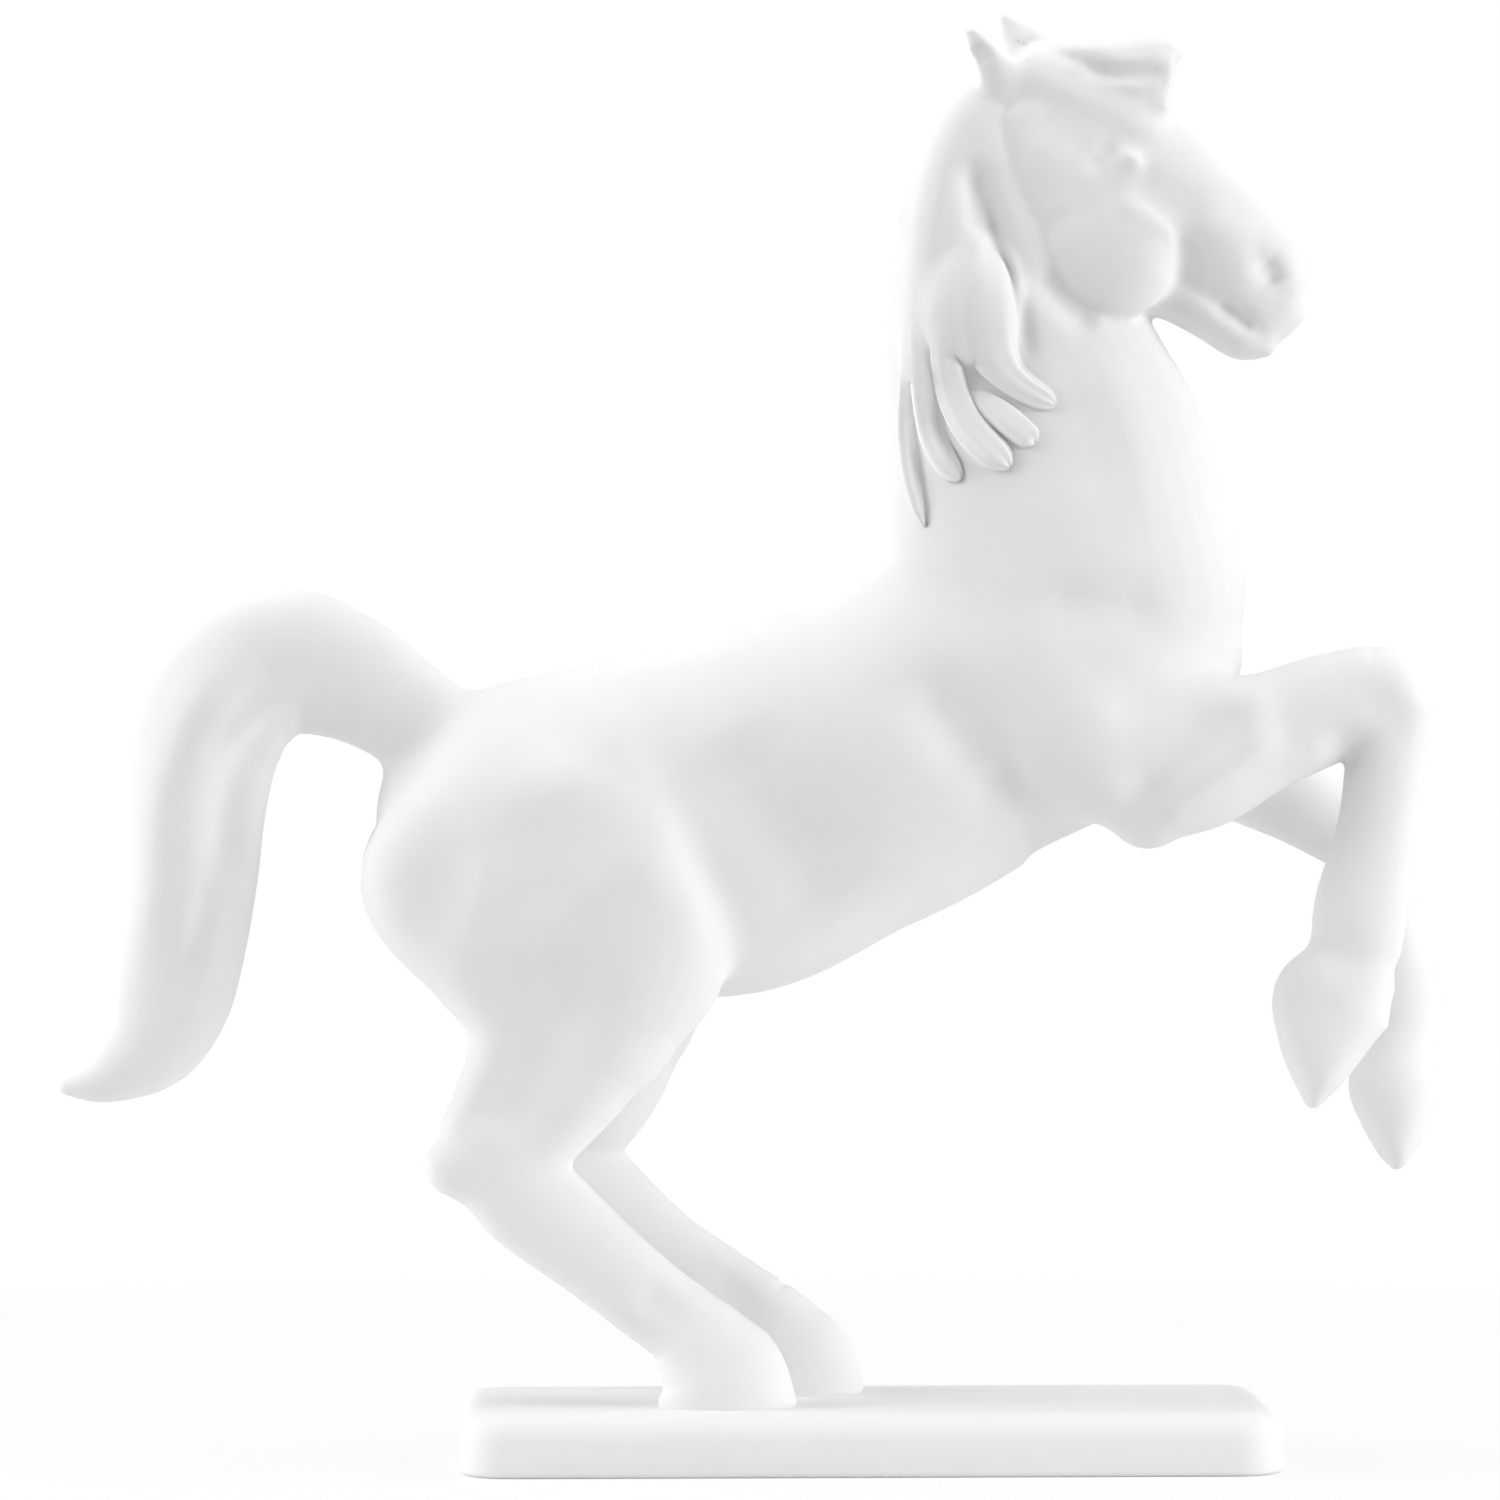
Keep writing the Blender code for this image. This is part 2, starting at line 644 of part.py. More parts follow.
LOCKS = {
    "mane_lock_1": [
        Oval(0.0395, 0.1902, 0.0020, 0.0014), Oval(0.0415, 0.1848, 0.0040, 0.0024),
        Oval(0.0425, 0.1782, 0.0043, 0.0026), Oval(0.0440, 0.1728, 0.0037, 0.0024),
        Oval(0.0475, 0.1685, 0.0022, 0.0020), Oval(0.0515, 0.1652, 0.0007, 0.0009),
    ],
    "mane_lock_2": [
        Oval(0.0390, 0.1678, 0.0014, 0.0014), Oval(0.0420, 0.1635, 0.0020, 0.0019),
        Oval(0.0450, 0.1610, 0.0020, 0.0019), Oval(0.0480, 0.1588, 0.0010, 0.0010),
    ],
    "mane_lock_3": [
        Oval(0.0372, 0.1895, 0.0014, 0.0014), Oval(0.0333, 0.1818, 0.0022, 0.0022),
        Oval(0.0330, 0.1738, 0.0024, 0.0025), Oval(0.0352, 0.1658, 0.0026, 0.0025),
        Oval(0.0400, 0.1597, 0.0027, 0.0024), Oval(0.0433, 0.1562, 0.0023, 0.0020),
        Oval(0.0455, 0.1537, 0.0009, 0.0010),
    ],
    "mane_lock_4": [
        Oval(0.0283, 0.1895, 0.0016, 0.0014), Oval(0.0290, 0.1782, 0.0022, 0.0022),
        Oval(0.0300, 0.1665, 0.0023, 0.0024), Oval(0.0312, 0.1582, 0.0021, 0.0022),
        Oval(0.0330, 0.1510, 0.0008, 0.0010),
    ],
    "mane_lock_5": [
        Oval(0.0252, 0.1760, 0.0013, 0.0012), Oval(0.0254, 0.1665, 0.0019, 0.0018),
        Oval(0.0261, 0.1573, 0.0019, 0.0018), Oval(0.0273, 0.1498, 0.0016, 0.0016),
        Oval(0.0287, 0.1438, 0.0007, 0.0009),
    ],
}
hair = {}
for name, points in LOCKS.items():
    mesh = lock(points)
    obj = piece(name, mesh)
    boolean(obj, skin_seat, "DIFFERENCE")
    for seat in hair.values():
        boolean(obj, seat, "DIFFERENCE")
    hair[name] = grown(name + "_seat", mesh)

RIGHT_EAR = [
    Oval(0.0430, 0.2160, 0.0032, 0.0026, -0.0048),
    Oval(0.0418, 0.2192, 0.0031, 0.0024, -0.0053),
    Oval(0.0401, 0.2224, 0.0027, 0.0021, -0.0059),
    Oval(0.0382, 0.2252, 0.0019, 0.0016, -0.0064),
    Oval(0.0366, 0.2274, 0.0008, 0.0008, -0.0067),
]
LEFT_EAR = [
    Oval(0.0480, 0.2180, 0.0042, 0.0026, 0.0048),
    Oval(0.0468, 0.2218, 0.0040, 0.0024, 0.0053),
    Oval(0.0455, 0.2252, 0.0032, 0.0021, 0.0059),
    Oval(0.0441, 0.2281, 0.0020, 0.0016, 0.0064),
    Oval(0.0430, 0.2304, 0.0008, 0.0008, 0.0067),
]
for name, stations in {"right_ear": RIGHT_EAR, "left_ear": LEFT_EAR}.items():
    mesh = loft(stations, 12, 4)
    obj = piece(name, mesh)
    boolean(obj, skin_seat, "DIFFERENCE")
    boolean(obj, hair["mane_lock_1"], "DIFFERENCE")
    hair[name] = grown(name + "_seat", mesh)

FORELOCK = [
    [
        Oval(0.0450, 0.2258, 0.0012, 0.0026), Oval(0.0505, 0.2250, 0.0019, 0.0042),
        Oval(0.0560, 0.2235, 0.0029, 0.0054), Oval(0.0620, 0.2219, 0.0048, 0.0060),
        Oval(0.0670, 0.2210, 0.0064, 0.0058), Oval(0.0698, 0.2206, 0.0058, 0.0050),
    ],
    [
        Oval(0.0500, 0.2212, 0.0030, 0.0052), Oval(0.0575, 0.2180, 0.0040, 0.0060),
        Oval(0.0640, 0.2152, 0.0044, 0.0060), Oval(0.0690, 0.2150, 0.0030, 0.0048),
    ],
]
strands = [loft(stations, 18, 3, 0.25) for stations in FORELOCK]
strands.append(ball(0.0694, 0.2244, 0.0, (0.0029, 0.0040, 0.0024)))
forelock = piece("forelock", blend("forelock_form", strands, HAIR_VOXEL, HAIR_SMOOTHING, HAIR_KEEP))
boolean(forelock, skin_seat, "DIFFERENCE")
for name in ("mane_lock_1", "right_ear", "left_ear"):
    boolean(forelock, hair[name], "DIFFERENCE")


# Plinth
def rounded_slab(length, depth, low, high, corner, top, foot):
    """A slab with upright corners, top edge and foot edge rounded."""
    bm = bmesh.new()
    size = Matrix.Diagonal((length, depth, high - low, 1))
    place = Matrix.Translation((PLINTH_CENTRE_X, 0, 0.5 * (high + low)))
    bmesh.ops.create_cube(bm, size=1, matrix=place @ size)
    upright = [e for e in bm.edges if abs(e.verts[0].co.z - e.verts[1].co.z) > 0.5 * (high - low)]
    bmesh.ops.bevel(bm, geom=upright, offset=corner, segments=6, profile=0.5, affect="EDGES")
    for level, radius, segments in ((high, top, 4), (low, foot, 2)):
        rim = [e for e in bm.edges if all(abs(v.co.z - level) < 1e-6 for v in e.verts)]
        if radius > 0:
            bmesh.ops.bevel(bm, geom=rim, offset=radius, segments=segments, profile=0.5, affect="EDGES")
    return mesh_of(bm, "slab")


plinth = piece("base_plinth", rounded_slab(
    PLINTH_LENGTH, PLINTH_DEPTH, 0.0, PLINTH_HEIGHT,
    PLINTH_CORNER_RADIUS, PLINTH_TOP_RADIUS, PLINTH_FOOT_RADIUS))
recess = helper("plinth_recess", rounded_slab(
    PLINTH_LENGTH - 2 * PLINTH_WALL, PLINTH_DEPTH - 2 * PLINTH_WALL,
    -PLINTH_WALL, PLINTH_HEIGHT - PLINTH_WALL,
    PLINTH_CORNER_RADIUS - 0.5 * PLINTH_WALL, 0.5 * PLINTH_WALL, 0.0))
boolean(plinth, recess, "DIFFERENCE")
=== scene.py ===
import math
from collections import namedtuple

import bmesh
import bpy
import numpy as np
from mathutils import Matrix, Vector
from mathutils.bvhtree import BVHTree


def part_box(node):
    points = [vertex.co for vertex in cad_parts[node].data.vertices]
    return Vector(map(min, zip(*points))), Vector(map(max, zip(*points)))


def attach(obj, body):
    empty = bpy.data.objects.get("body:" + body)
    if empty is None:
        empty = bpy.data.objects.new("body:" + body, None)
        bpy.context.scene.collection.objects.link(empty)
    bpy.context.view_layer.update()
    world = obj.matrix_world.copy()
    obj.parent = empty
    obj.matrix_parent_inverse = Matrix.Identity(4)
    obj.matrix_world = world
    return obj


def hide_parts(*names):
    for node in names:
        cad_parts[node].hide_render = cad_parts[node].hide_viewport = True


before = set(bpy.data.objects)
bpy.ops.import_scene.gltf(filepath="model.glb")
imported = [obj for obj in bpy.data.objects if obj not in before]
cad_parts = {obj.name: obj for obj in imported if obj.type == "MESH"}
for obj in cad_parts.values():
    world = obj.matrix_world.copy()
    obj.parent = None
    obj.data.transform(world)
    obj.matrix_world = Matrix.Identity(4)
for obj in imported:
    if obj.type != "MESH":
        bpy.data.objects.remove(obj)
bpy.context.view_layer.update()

# The plinth is a slip-cast slab with softly rounded upper edges, hollow underneath.
# It is unglazed porcelain, fired to a dry white biscuit, and stands on its foot rim.
PLINTH_LOW, PLINTH_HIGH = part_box("base_plinth")
PLINTH_CORNER = 0.0085
PLINTH_LEAST_CORNER = 0.0012
PLINTH_TOP_EDGE = 0.0046
PLINTH_FOOT_EDGE = 0.0010
PLINTH_WALL = 0.0040
RIM_EDGE = 0.0005
RECESS_EASE = 0.0006
RECESS_FILLET = 0.0020
CORNER_STEPS = 12
TOP_STEPS = 8
FOOT_STEPS = 3
BISCUIT_SHADE = (0.838, 0.842, 0.836, 1.0)
BISCUIT_WHITE = (0.865, 0.868, 0.862, 1.0)


def feed(node, values):
    """Sets a node's inputs by name."""
    for name, value in values.items():
        node.inputs[name].default_value = value


def biscuit_porcelain():
    """Dry unglazed porcelain: near white, with a fine grain and faint cloudy firing marks."""
    porcelain = bpy.data.materials.new("biscuit_porcelain")
    porcelain.use_nodes = True
    nodes = porcelain.node_tree.nodes
    links = porcelain.node_tree.links
    shader = nodes["Principled BSDF"]
    feed(shader, {"Subsurface Weight": 0.10, "Subsurface Radius": (1.0, 0.9, 0.8),
                  "Subsurface Scale": 0.0010, "Specular IOR Level": 0.25})
    place = nodes.new("ShaderNodeTexCoord")
    cloud = nodes.new("ShaderNodeTexNoise")
    feed(cloud, {"Scale": 55.0, "Detail": 3.0})
    tint = nodes.new("ShaderNodeValToRGB")
    tint.color_ramp.elements[0].position = 0.30
    tint.color_ramp.elements[0].color = BISCUIT_SHADE
    tint.color_ramp.elements[1].position = 0.70
    tint.color_ramp.elements[1].color = BISCUIT_WHITE
    grain = nodes.new("ShaderNodeTexNoise")
    feed(grain, {"Scale": 1900.0, "Detail": 4.0})
    dryness = nodes.new("ShaderNodeMapRange")
    feed(dryness, {"To Min": 0.62, "To Max": 0.82})
    bump = nodes.new("ShaderNodeBump")
    feed(bump, {"Strength": 0.10, "Distance": 0.00012})
    for texture in (cloud, grain):
        links.new(place.outputs["Object"], texture.inputs["Vector"])
    links.new(cloud.outputs["Fac"], tint.inputs["Fac"])
    links.new(tint.outputs["Color"], shader.inputs["Base Color"])
    links.new(grain.outputs["Fac"], dryness.inputs["Value"])
    links.new(dryness.outputs["Result"], shader.inputs["Roughness"])
    links.new(grain.outputs["Fac"], bump.inputs["Height"])
    links.new(bump.outputs["Normal"], shader.inputs["Normal"])
    return porcelain


porcelain = biscuit_porcelain()


def placed(name, data):
    """A new object in the scene."""
    obj = bpy.data.objects.new(name, data)
    bpy.context.scene.collection.objects.link(obj)
    return obj


def mesh_from(bm, name):
    """The mesh of a finished bmesh."""
    mesh = bpy.data.meshes.new(name)
    bm.to_mesh(mesh)
    bm.free()
    return mesh


def porcelain_piece(name, mesh, *nodes):
    """A finished porcelain piece that stands for its solids."""
    obj = placed(name, mesh)
    mesh.materials.clear()
    mesh.materials.append(porcelain)
    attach(obj, "root")
    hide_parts(*nodes)


def plinth_ring(bm, height, inset):
    """One rounded rectangle of the plinth, so far inside its outline."""
    radius = max(PLINTH_CORNER - inset, PLINTH_LEAST_CORNER)
    half_x = 0.5 * (PLINTH_HIGH.x - PLINTH_LOW.x) - inset - radius
    half_y = 0.5 * (PLINTH_HIGH.y - PLINTH_LOW.y) - inset - radius
    middle = 0.5 * (PLINTH_LOW + PLINTH_HIGH)
    ring = []
    for corner, (sx, sy) in enumerate(((1, 1), (-1, 1), (-1, -1), (1, -1))):
        for step in range(CORNER_STEPS + 1):
            turn = math.radians(90 * corner + 90 / CORNER_STEPS * step)
            x = middle.x + sx * half_x + radius * math.cos(turn)
            y = middle.y + sy * half_y + radius * math.sin(turn)
            ring.append(bm.verts.new((x, y, height)))
    return ring


def plinth_mesh():
    """Rings from the top down the outside, under the foot rim and up into the recess."""
    bm = bmesh.new()
    top = PLINTH_HIGH.z
    recess = top - PLINTH_WALL
    levels = []
    for step in range(TOP_STEPS + 1):
        turn = math.radians(90 - 90 / TOP_STEPS * step)
        levels.append((top - PLINTH_TOP_EDGE * (1 - math.sin(turn)),
                       PLINTH_TOP_EDGE * (1 - math.cos(turn))))
    for step in range(FOOT_STEPS + 1):
        turn = math.radians(90 / FOOT_STEPS * step)
        levels.append((PLINTH_FOOT_EDGE * (1 - math.sin(turn)),
                       PLINTH_FOOT_EDGE * (1 - math.cos(turn))))
    levels += [
        (0.0, PLINTH_WALL - RIM_EDGE), (RECESS_EASE, PLINTH_WALL),
        (recess - RECESS_FILLET, PLINTH_WALL), (recess - RECESS_EASE, PLINTH_WALL + RECESS_EASE),
        (recess, PLINTH_WALL + RECESS_FILLET)]
    rings = [plinth_ring(bm, height, inset) for height, inset in levels]
    count = len(rings[0])
    for first, second in zip(rings, rings[1:]):
        for k in range(count):
            n = (k + 1) % count
            bm.faces.new((first[k], second[k], second[n], first[n]))
    bm.faces.new(rings[0])
    bm.faces.new(rings[-1])
    bmesh.ops.recalc_face_normals(bm, faces=bm.faces)
    mesh = mesh_from(bm, "base_plinth_biscuit")
    mesh.shade_smooth()
    return mesh


porcelain_piece("plinth_biscuit", plinth_mesh(), "base_plinth")

# The trunk is a hollow porcelain casting: barrel, loins, haunches and shoulders in one.
# Its muscles are modelled on the clay original, so they show as soft ridges and folds.
# Sections are (x, z over the plinth, half height, half width, y), in millimetres.
MM = 0.001
SLIP_SEAM = 0.0003
GROUND = PLINTH_HIGH.z + SLIP_SEAM
RIGHT, LEFT = -1, 1
SHOULDER_OFFSET = 12.3
BUTTOCK_OFFSET = 9.8
TRUNK = (
    (-51.3, 92.3, 16.5, 14.5), (-41.3, 95.7, 22.5, 17.5), (-31.3, 96.5, 25.0, 19.0),
    (-18.0, 96.5, 27.7, 19.3), (-4.2, 96.8, 29.8, 20.5), (12.2, 103.2, 28.5, 21.5),
    (23.7, 107.5, 27.3, 21.5), (36.2, 114.7, 27.3, 20.5), (51.2, 118.2, 23.8, 19.5),
    (65.3, 122.3, 20.0, 18.0), (74.5, 126.5, 11.7, 11.0))
SHOULDER = ((43.7, 126.5, 11.0, 7.0), (51.2, 114.0, 14.5, 10.2), (60.5, 104.0, 10.0, 9.0))
BUTTOCK = ((-48.5, 99.0, 8.0, 8.0), (-53.0, 87.2, 11.8, 10.5), (-44.7, 73.7, 10.0, 9.8),
           (-37.6, 65.0, 8.5, 8.5))
# A mark of the modelling tool: its line in the side view, how far it lifts (or presses, below
# zero) the clay, how wide it is, the half of the body and the side of it that it is made on,
# and how wide it is to the right of its run, where that differs
Mark = namedtuple("Mark", "line lift width half face right_width", defaults=[0, 0, 0])
DOME_RISES = (0.0, 0.4, 0.7, 0.9, 0.98)
forms = []
broad_marks = []
fine_marks = []


def limb(stations, y=0.0, dome=0.7, sides=36, steps=8):
    """A closed limb of clay through oval sections, with domed ends."""
    rows = np.array([tuple(s) + (0.0,) * (5 - len(s)) for s in stations]) * MM
    rows[:, 4] += y * MM
    path = np.vstack([rows[0], rows, rows[-1]])
    fine = []
    for a, b, c, d in zip(path, path[1:], path[2:], path[3:]):
        for t in np.arange(steps) / steps:
            bend = (2 * a - 5 * b + 4 * c - d) * t ** 2
            fine.append(0.5 * (2 * b + (c - a) * t + bend + (3 * b - a - 3 * c + d) * t ** 3))
    fine = np.array(fine + [rows[-1]])
    centres = np.stack([fine[:, 0], fine[:, 4], fine[:, 1] + GROUND], 1)
    ahead = np.gradient(centres, axis=0)
    ahead /= np.linalg.norm(ahead, axis=1)[:, None]
    across = np.array((0.0, 1.0, 0.0)) - ahead * ahead[:, 1:2]
    across /= np.linalg.norm(across, axis=1)[:, None]
    upward = np.cross(across, ahead)
    rings = []
    turns = 2 * np.pi * np.arange(sides) / sides
    last = len(fine) - 1
    for i, (high, wide) in enumerate(fine[:, 2:4]):
        rises = (0.0,)
        if i == 0:
            rises = tuple(-rise for rise in reversed(DOME_RISES))
        elif i == last:
            rises = DOME_RISES
        for rise in rises:
            shrink = math.sqrt(1 - rise ** 2)
            middle = centres[i] + ahead[i] * rise * dome * min(high, wide)
            rings.append(middle + np.outer(np.cos(turns) * high * shrink, upward[i])
                         + np.outer(np.sin(turns) * wide * shrink, across[i]))
    corners = np.concatenate(rings)
    faces = []
    for r in range(len(rings) - 1):
        for k in range(sides):
            n = (k + 1) % sides
            faces.append((r * sides + k, r * sides + n, (r + 1) * sides + n, (r + 1) * sides + k))
    faces.append(tuple(range(sides)))
    faces.append(tuple(range((len(rings) - 1) * sides, len(rings) * sides)))
    mesh = bpy.data.meshes.new("limb")
    mesh.from_pydata(corners.tolist(), [], faces)
    return mesh


def pellet(x, z, y, radii):
    """A small ball of clay, flattened to its three radii."""
    bm = bmesh.new()
    size = Matrix.Diagonal((*(r * MM for r in radii), 1))
    place = Matrix.Translation((x * MM, y * MM, z * MM + GROUND))
    bmesh.ops.create_uvsphere(bm, u_segments=32, v_segments=20, radius=1, matrix=place @ size)
    return mesh_from(bm, "pellet")


forms.append(limb(TRUNK))
for side in (RIGHT, LEFT):
    forms.append(limb(SHOULDER, side * SHOULDER_OFFSET))
    forms.append(limb(BUTTOCK, side * BUTTOCK_OFFSET))
broad_marks += [
    # front edge of the haunch, and the flank hollow before it
    Mark(((-29.3, 121.5), (-25.2, 113.5), (-19.3, 102.2), (-13.2, 88.5), (-9.2, 75.7),
          (-7.8, 69.3)), 2.0, 5.5, right_width=11.0),
    Mark(((-6.7, 111.9), (2.0, 100.4), (8.8, 88.9), (13.7, 79.0)), -2.0, 8.0),
    # hip, thigh and the fold above the stifle
    Mark(((-37.5, 100.5), (-31.7, 102.2)), 0.8, 6.0),
    Mark(((-46.5, 84.1), (-36.7, 81.6), (-25.2, 85.7)), -1.0, 8.0),
    Mark(((-10.4, 89.7), (-17.0, 89.4), (-21.9, 87.4), (-31.7, 81.1), (-37.5, 76.7)), 0.9, 4.6),
    # shoulder blade, and the fold behind the elbow
    Mark(((52.3, 132.2), (62.1, 132.2)), -1.1, 4.5),
    Mark(((45.7, 126.7), (58.9, 124.3)), 0.6, 6.0),
    Mark(((25.1, 123.4), (29.2, 118.5), (36.6, 109.4), (41.6, 103.7), (46.5, 99.4)), -1.4, 5.5),
    Mark(((27.9, 118.5), (33.3, 111.9), (38.3, 106.2)), -0.9, 6.0),
]

# The neck is a hollow casting set on the withers, arched like a swan's.
# The hair of the crest is modelled with it and falls to its right side.
NECK = (
    (50.3, 116.5, 22.0, 18.0), (53.0, 129.8, 29.8, 19.5), (51.4, 143.7, 28.9, 17.5),
    (49.4, 157.8, 26.8, 14.5), (46.5, 168.5, 24.0, 12.2), (43.4, 178.5, 21.4, 10.8),
    (41.0, 189.5, 18.8, 9.8), (38.8, 200.2, 14.6, 9.0), (39.0, 209.3, 10.4, 8.0),
    (41.0, 215.5, 6.2, 6.2))
CREST_HAIR = (
    (36.2, 212.0, 4.0, 3.0, -4.0), (34.2, 205.0, 6.0, 3.8, -4.9), (33.2, 196.0, 7.5, 4.0, -5.7),
    (33.0, 187.0, 8.2, 4.2, -6.3), (32.5, 178.0, 8.0, 4.2, -6.7), (31.5, 170.0, 7.0, 3.6, -7.4))
MANE_SHEET = (
    (38.0, 193.0, 5.0, 2.2, -8.4), (38.0, 187.0, 7.5, 2.8, -9.8), (36.5, 180.0, 8.4, 2.8, -10.6),
    (35.0, 174.0, 6.0, 2.0, -11.0))
forms.append(limb(NECK))
forms.append(limb(CREST_HAIR))
forms.append(limb(MANE_SHEET))
broad_marks += [
    # where the side of the neck turns to its front
    Mark(((57.3, 176.2), (60.6, 168.6), (63.3, 162.2), (65.2, 150.9), (65.9, 142.3)), 0.6, 4.5),
    Mark(((52.7, 169.6), (55.7, 159.7), (57.6, 149.8)), -0.6, 7.0),
]
fine_marks += [
    # deep furrow between the crest hair and the neck
    Mark(((36.0, 207.7), (38.3, 199.4), (41.0, 191.1), (43.3, 182.9)), -1.8, 2.8, RIGHT, RIGHT),
    Mark(((38.8, 201.1), (41.8, 190.3), (44.6, 179.6), (46.3, 171.3)), -1.0, 1.6, RIGHT, RIGHT),
    # strands in the crest hair
    Mark(((31.4, 214.4), (27.3, 204.4), (25.6, 192.8), (25.3, 182.9)), -0.35, 1.1, RIGHT, RIGHT),
    Mark(((33.1, 207.7), (30.6, 197.8), (29.4, 187.9)), 0.3, 1.6, RIGHT, RIGHT),
]

# The head is cast solid and luted on behind the ears, turned a little up.
# Brow, eye, cheek plate, nostril and lips are modelled sharply for a small face.
HEAD = (
    (45.5, 212.5, 10.0, 7.8), (50.0, 206.5, 15.0, 9.2), (57.2, 199.2, 15.8, 9.8),
    (67.2, 197.8, 15.4, 9.0), (74.8, 194.0, 12.5, 7.5), (80.3, 189.5, 11.3, 6.4),
    (84.8, 184.4, 10.4, 5.7), (88.4, 181.2, 7.4, 4.9), (90.5, 179.7, 3.8, 3.3))
CHIN = ((62.0, 186.5, 6.0, 6.0), (70.0, 184.6, 4.8, 5.4), (77.0, 180.8, 4.4, 5.4),
        (82.5, 177.5, 4.4, 5.0), (86.2, 176.7, 3.3, 4.0))
# balls of clay on each side of the face: x, z, y and the three radii
CHEEK = (59.7, 192.0, 5.5, (12.2, 5.5, 12.6))
CHEEK_FRONT = (67.2, 193.0, 5.5, (4.8, 4.0, 5.6))
EYE = (62.8, 205.8, 8.0, (2.5, 2.2, 2.1))
BROW = ((44.0, 220.0, 3.0, 2.4, 3.4), (50.5, 217.5, 3.8, 2.6, 3.9), (57.0, 214.5, 4.0, 2.6, 4.2),
        (63.5, 211.2, 3.8, 2.5, 4.2), (69.0, 208.0, 2.6, 1.8, 3.9))
forms.append(limb(HEAD))
forms.append(limb(CHIN))
for side in (RIGHT, LEFT):
    forms.append(limb([(x, z, high, wide, side * y) for x, z, high, wide, y in BROW]))
    for x, z, y, radii in (CHEEK, CHEEK_FRONT, EYE):
        forms.append(pellet(x, z, side * y, radii))
broad_marks += [
    # temple band from the ear to the brow, and the hollow under it
    Mark(((43.1, 223.0), (50.7, 218.4), (60.0, 214.4), (66.6, 211.1), (72.9, 207.4)), 0.4, 3.0),
    Mark(((46.3, 214.0), (52.1, 210.4), (57.1, 208.1)), -0.8, 3.6),
    # rear edge of the cheek, and the throat latch behind and below it
    Mark(((50.6, 201.1), (51.3, 195.3), (53.0, 189.5)), 0.6, 3.4),
    Mark(((48.0, 189.8), (50.0, 185.2), (53.6, 181.2), (58.3, 178.6)), -1.4, 2.6),
    # hollow between cheek and muzzle
    Mark(((73.2, 192.9), (71.6, 189.2), (69.6, 185.9)), -0.6, 3.4),
    Mark(((66.4, 201.5), (72.2, 198.2)), -0.6, 3.4),
    # full side of the muzzle behind and above the nostril
    Mark(((79.4, 192.9), (81.4, 189.3)), 0.7, 3.6),
    Mark(((77.2, 194.9), (82.2, 194.6)), 0.8, 4.2),
]
fine_marks += [
    # facial crest
    Mark(((60.0, 200.1), (64.6, 197.8), (68.8, 195.2), (70.1, 192.5)), 0.45, 2.0),
    # inner corner of the eye
    Mark(((57.5, 206.1), (59.0, 207.3)), -0.7, 2.2),
    # nostril with its raised rim
    Mark(((84.0, 191.9), (87.0, 191.3), (89.7, 187.9), (90.3, 184.6)), 0.2, 1.7),
    Mark(((85.0, 190.1), (86.3, 187.8), (87.8, 185.3)), -1.4, 2.5),
    # mouth and lips
    Mark(((77.8, 183.0), (81.1, 180.5), (84.3, 178.2)), -1.4, 1.7),
    Mark(((78.5, 185.0), (82.3, 182.0), (86.1, 180.0)), 0.15, 1.6),
    Mark(((77.3, 180.7), (80.6, 178.0), (83.9, 175.7)), 0.15, 1.6),
]

# The tail is cast solid and luted to the croup, and hangs in one heavy arch of hair.
# Its locks are drawn into the clay with a wooden tool, as long grooves and folds.
TAIL = (
    (-51.3, 110.0, 9.0, 6.2), (-58.8, 115.5, 9.4, 6.6), (-67.2, 120.4, 10.8, 7.2),
    (-76.3, 122.6, 12.4, 7.8), (-85.4, 119.0, 13.0, 8.2), (-90.5, 110.5, 13.0, 8.2),
    (-92.6, 99.8, 12.5, 8.2), (-93.3, 88.2, 11.8, 8.0), (-94.4, 76.5, 10.9, 7.6),
    (-96.4, 66.5, 10.1, 7.0), (-100.1, 59.1, 8.3, 6.2), (-107.3, 53.9, 4.7, 4.5),
    (-113.8, 52.3, 1.6, 2.0))
forms.append(limb(TAIL))
broad_marks += [
    # the outer fall of hair stands over the inner one along a long step
    Mark(((-82.1, 126.6), (-85.4, 124.1), (-90.7, 116.0), (-95.5, 105.7), (-97.3, 98.1),
          (-97.8, 89.9), (-98.5, 81.0), (-101.4, 69.4)), 2.4, 7.5, right_width=5.5),
    # the inner fold, with the pocket beside it
    Mark(((-88.2, 85.1), (-87.4, 93.4), (-86.5, 100.7), (-84.5, 106.3), (-81.2, 109.3),
          (-77.2, 111.2)), -1.7, 3.2, right_width=4.5),
]
fine_marks += [
    # strands drawn along both falls
    Mark(((-72.9, 122.9), (-78.6, 121.3), (-83.5, 116.6), (-88.2, 109.3), (-91.2, 101.7)),
         -0.3, 2.0),
    Mark(((-71.3, 118.3), (-76.9, 117.6), (-81.9, 114.0), (-85.9, 107.3)), 0.3, 2.0),
    Mark(((-91.8, 90.1), (-92.8, 81.8), (-95.5, 72.9)), 0.3, 2.0),
    Mark(((-89.8, 88.1), (-91.2, 79.2), (-94.8, 69.4)), -0.4, 2.0),
    Mark(((-87.9, 79.3), (-90.5, 71.0), (-94.1, 63.3)), 0.4, 2.0),
]

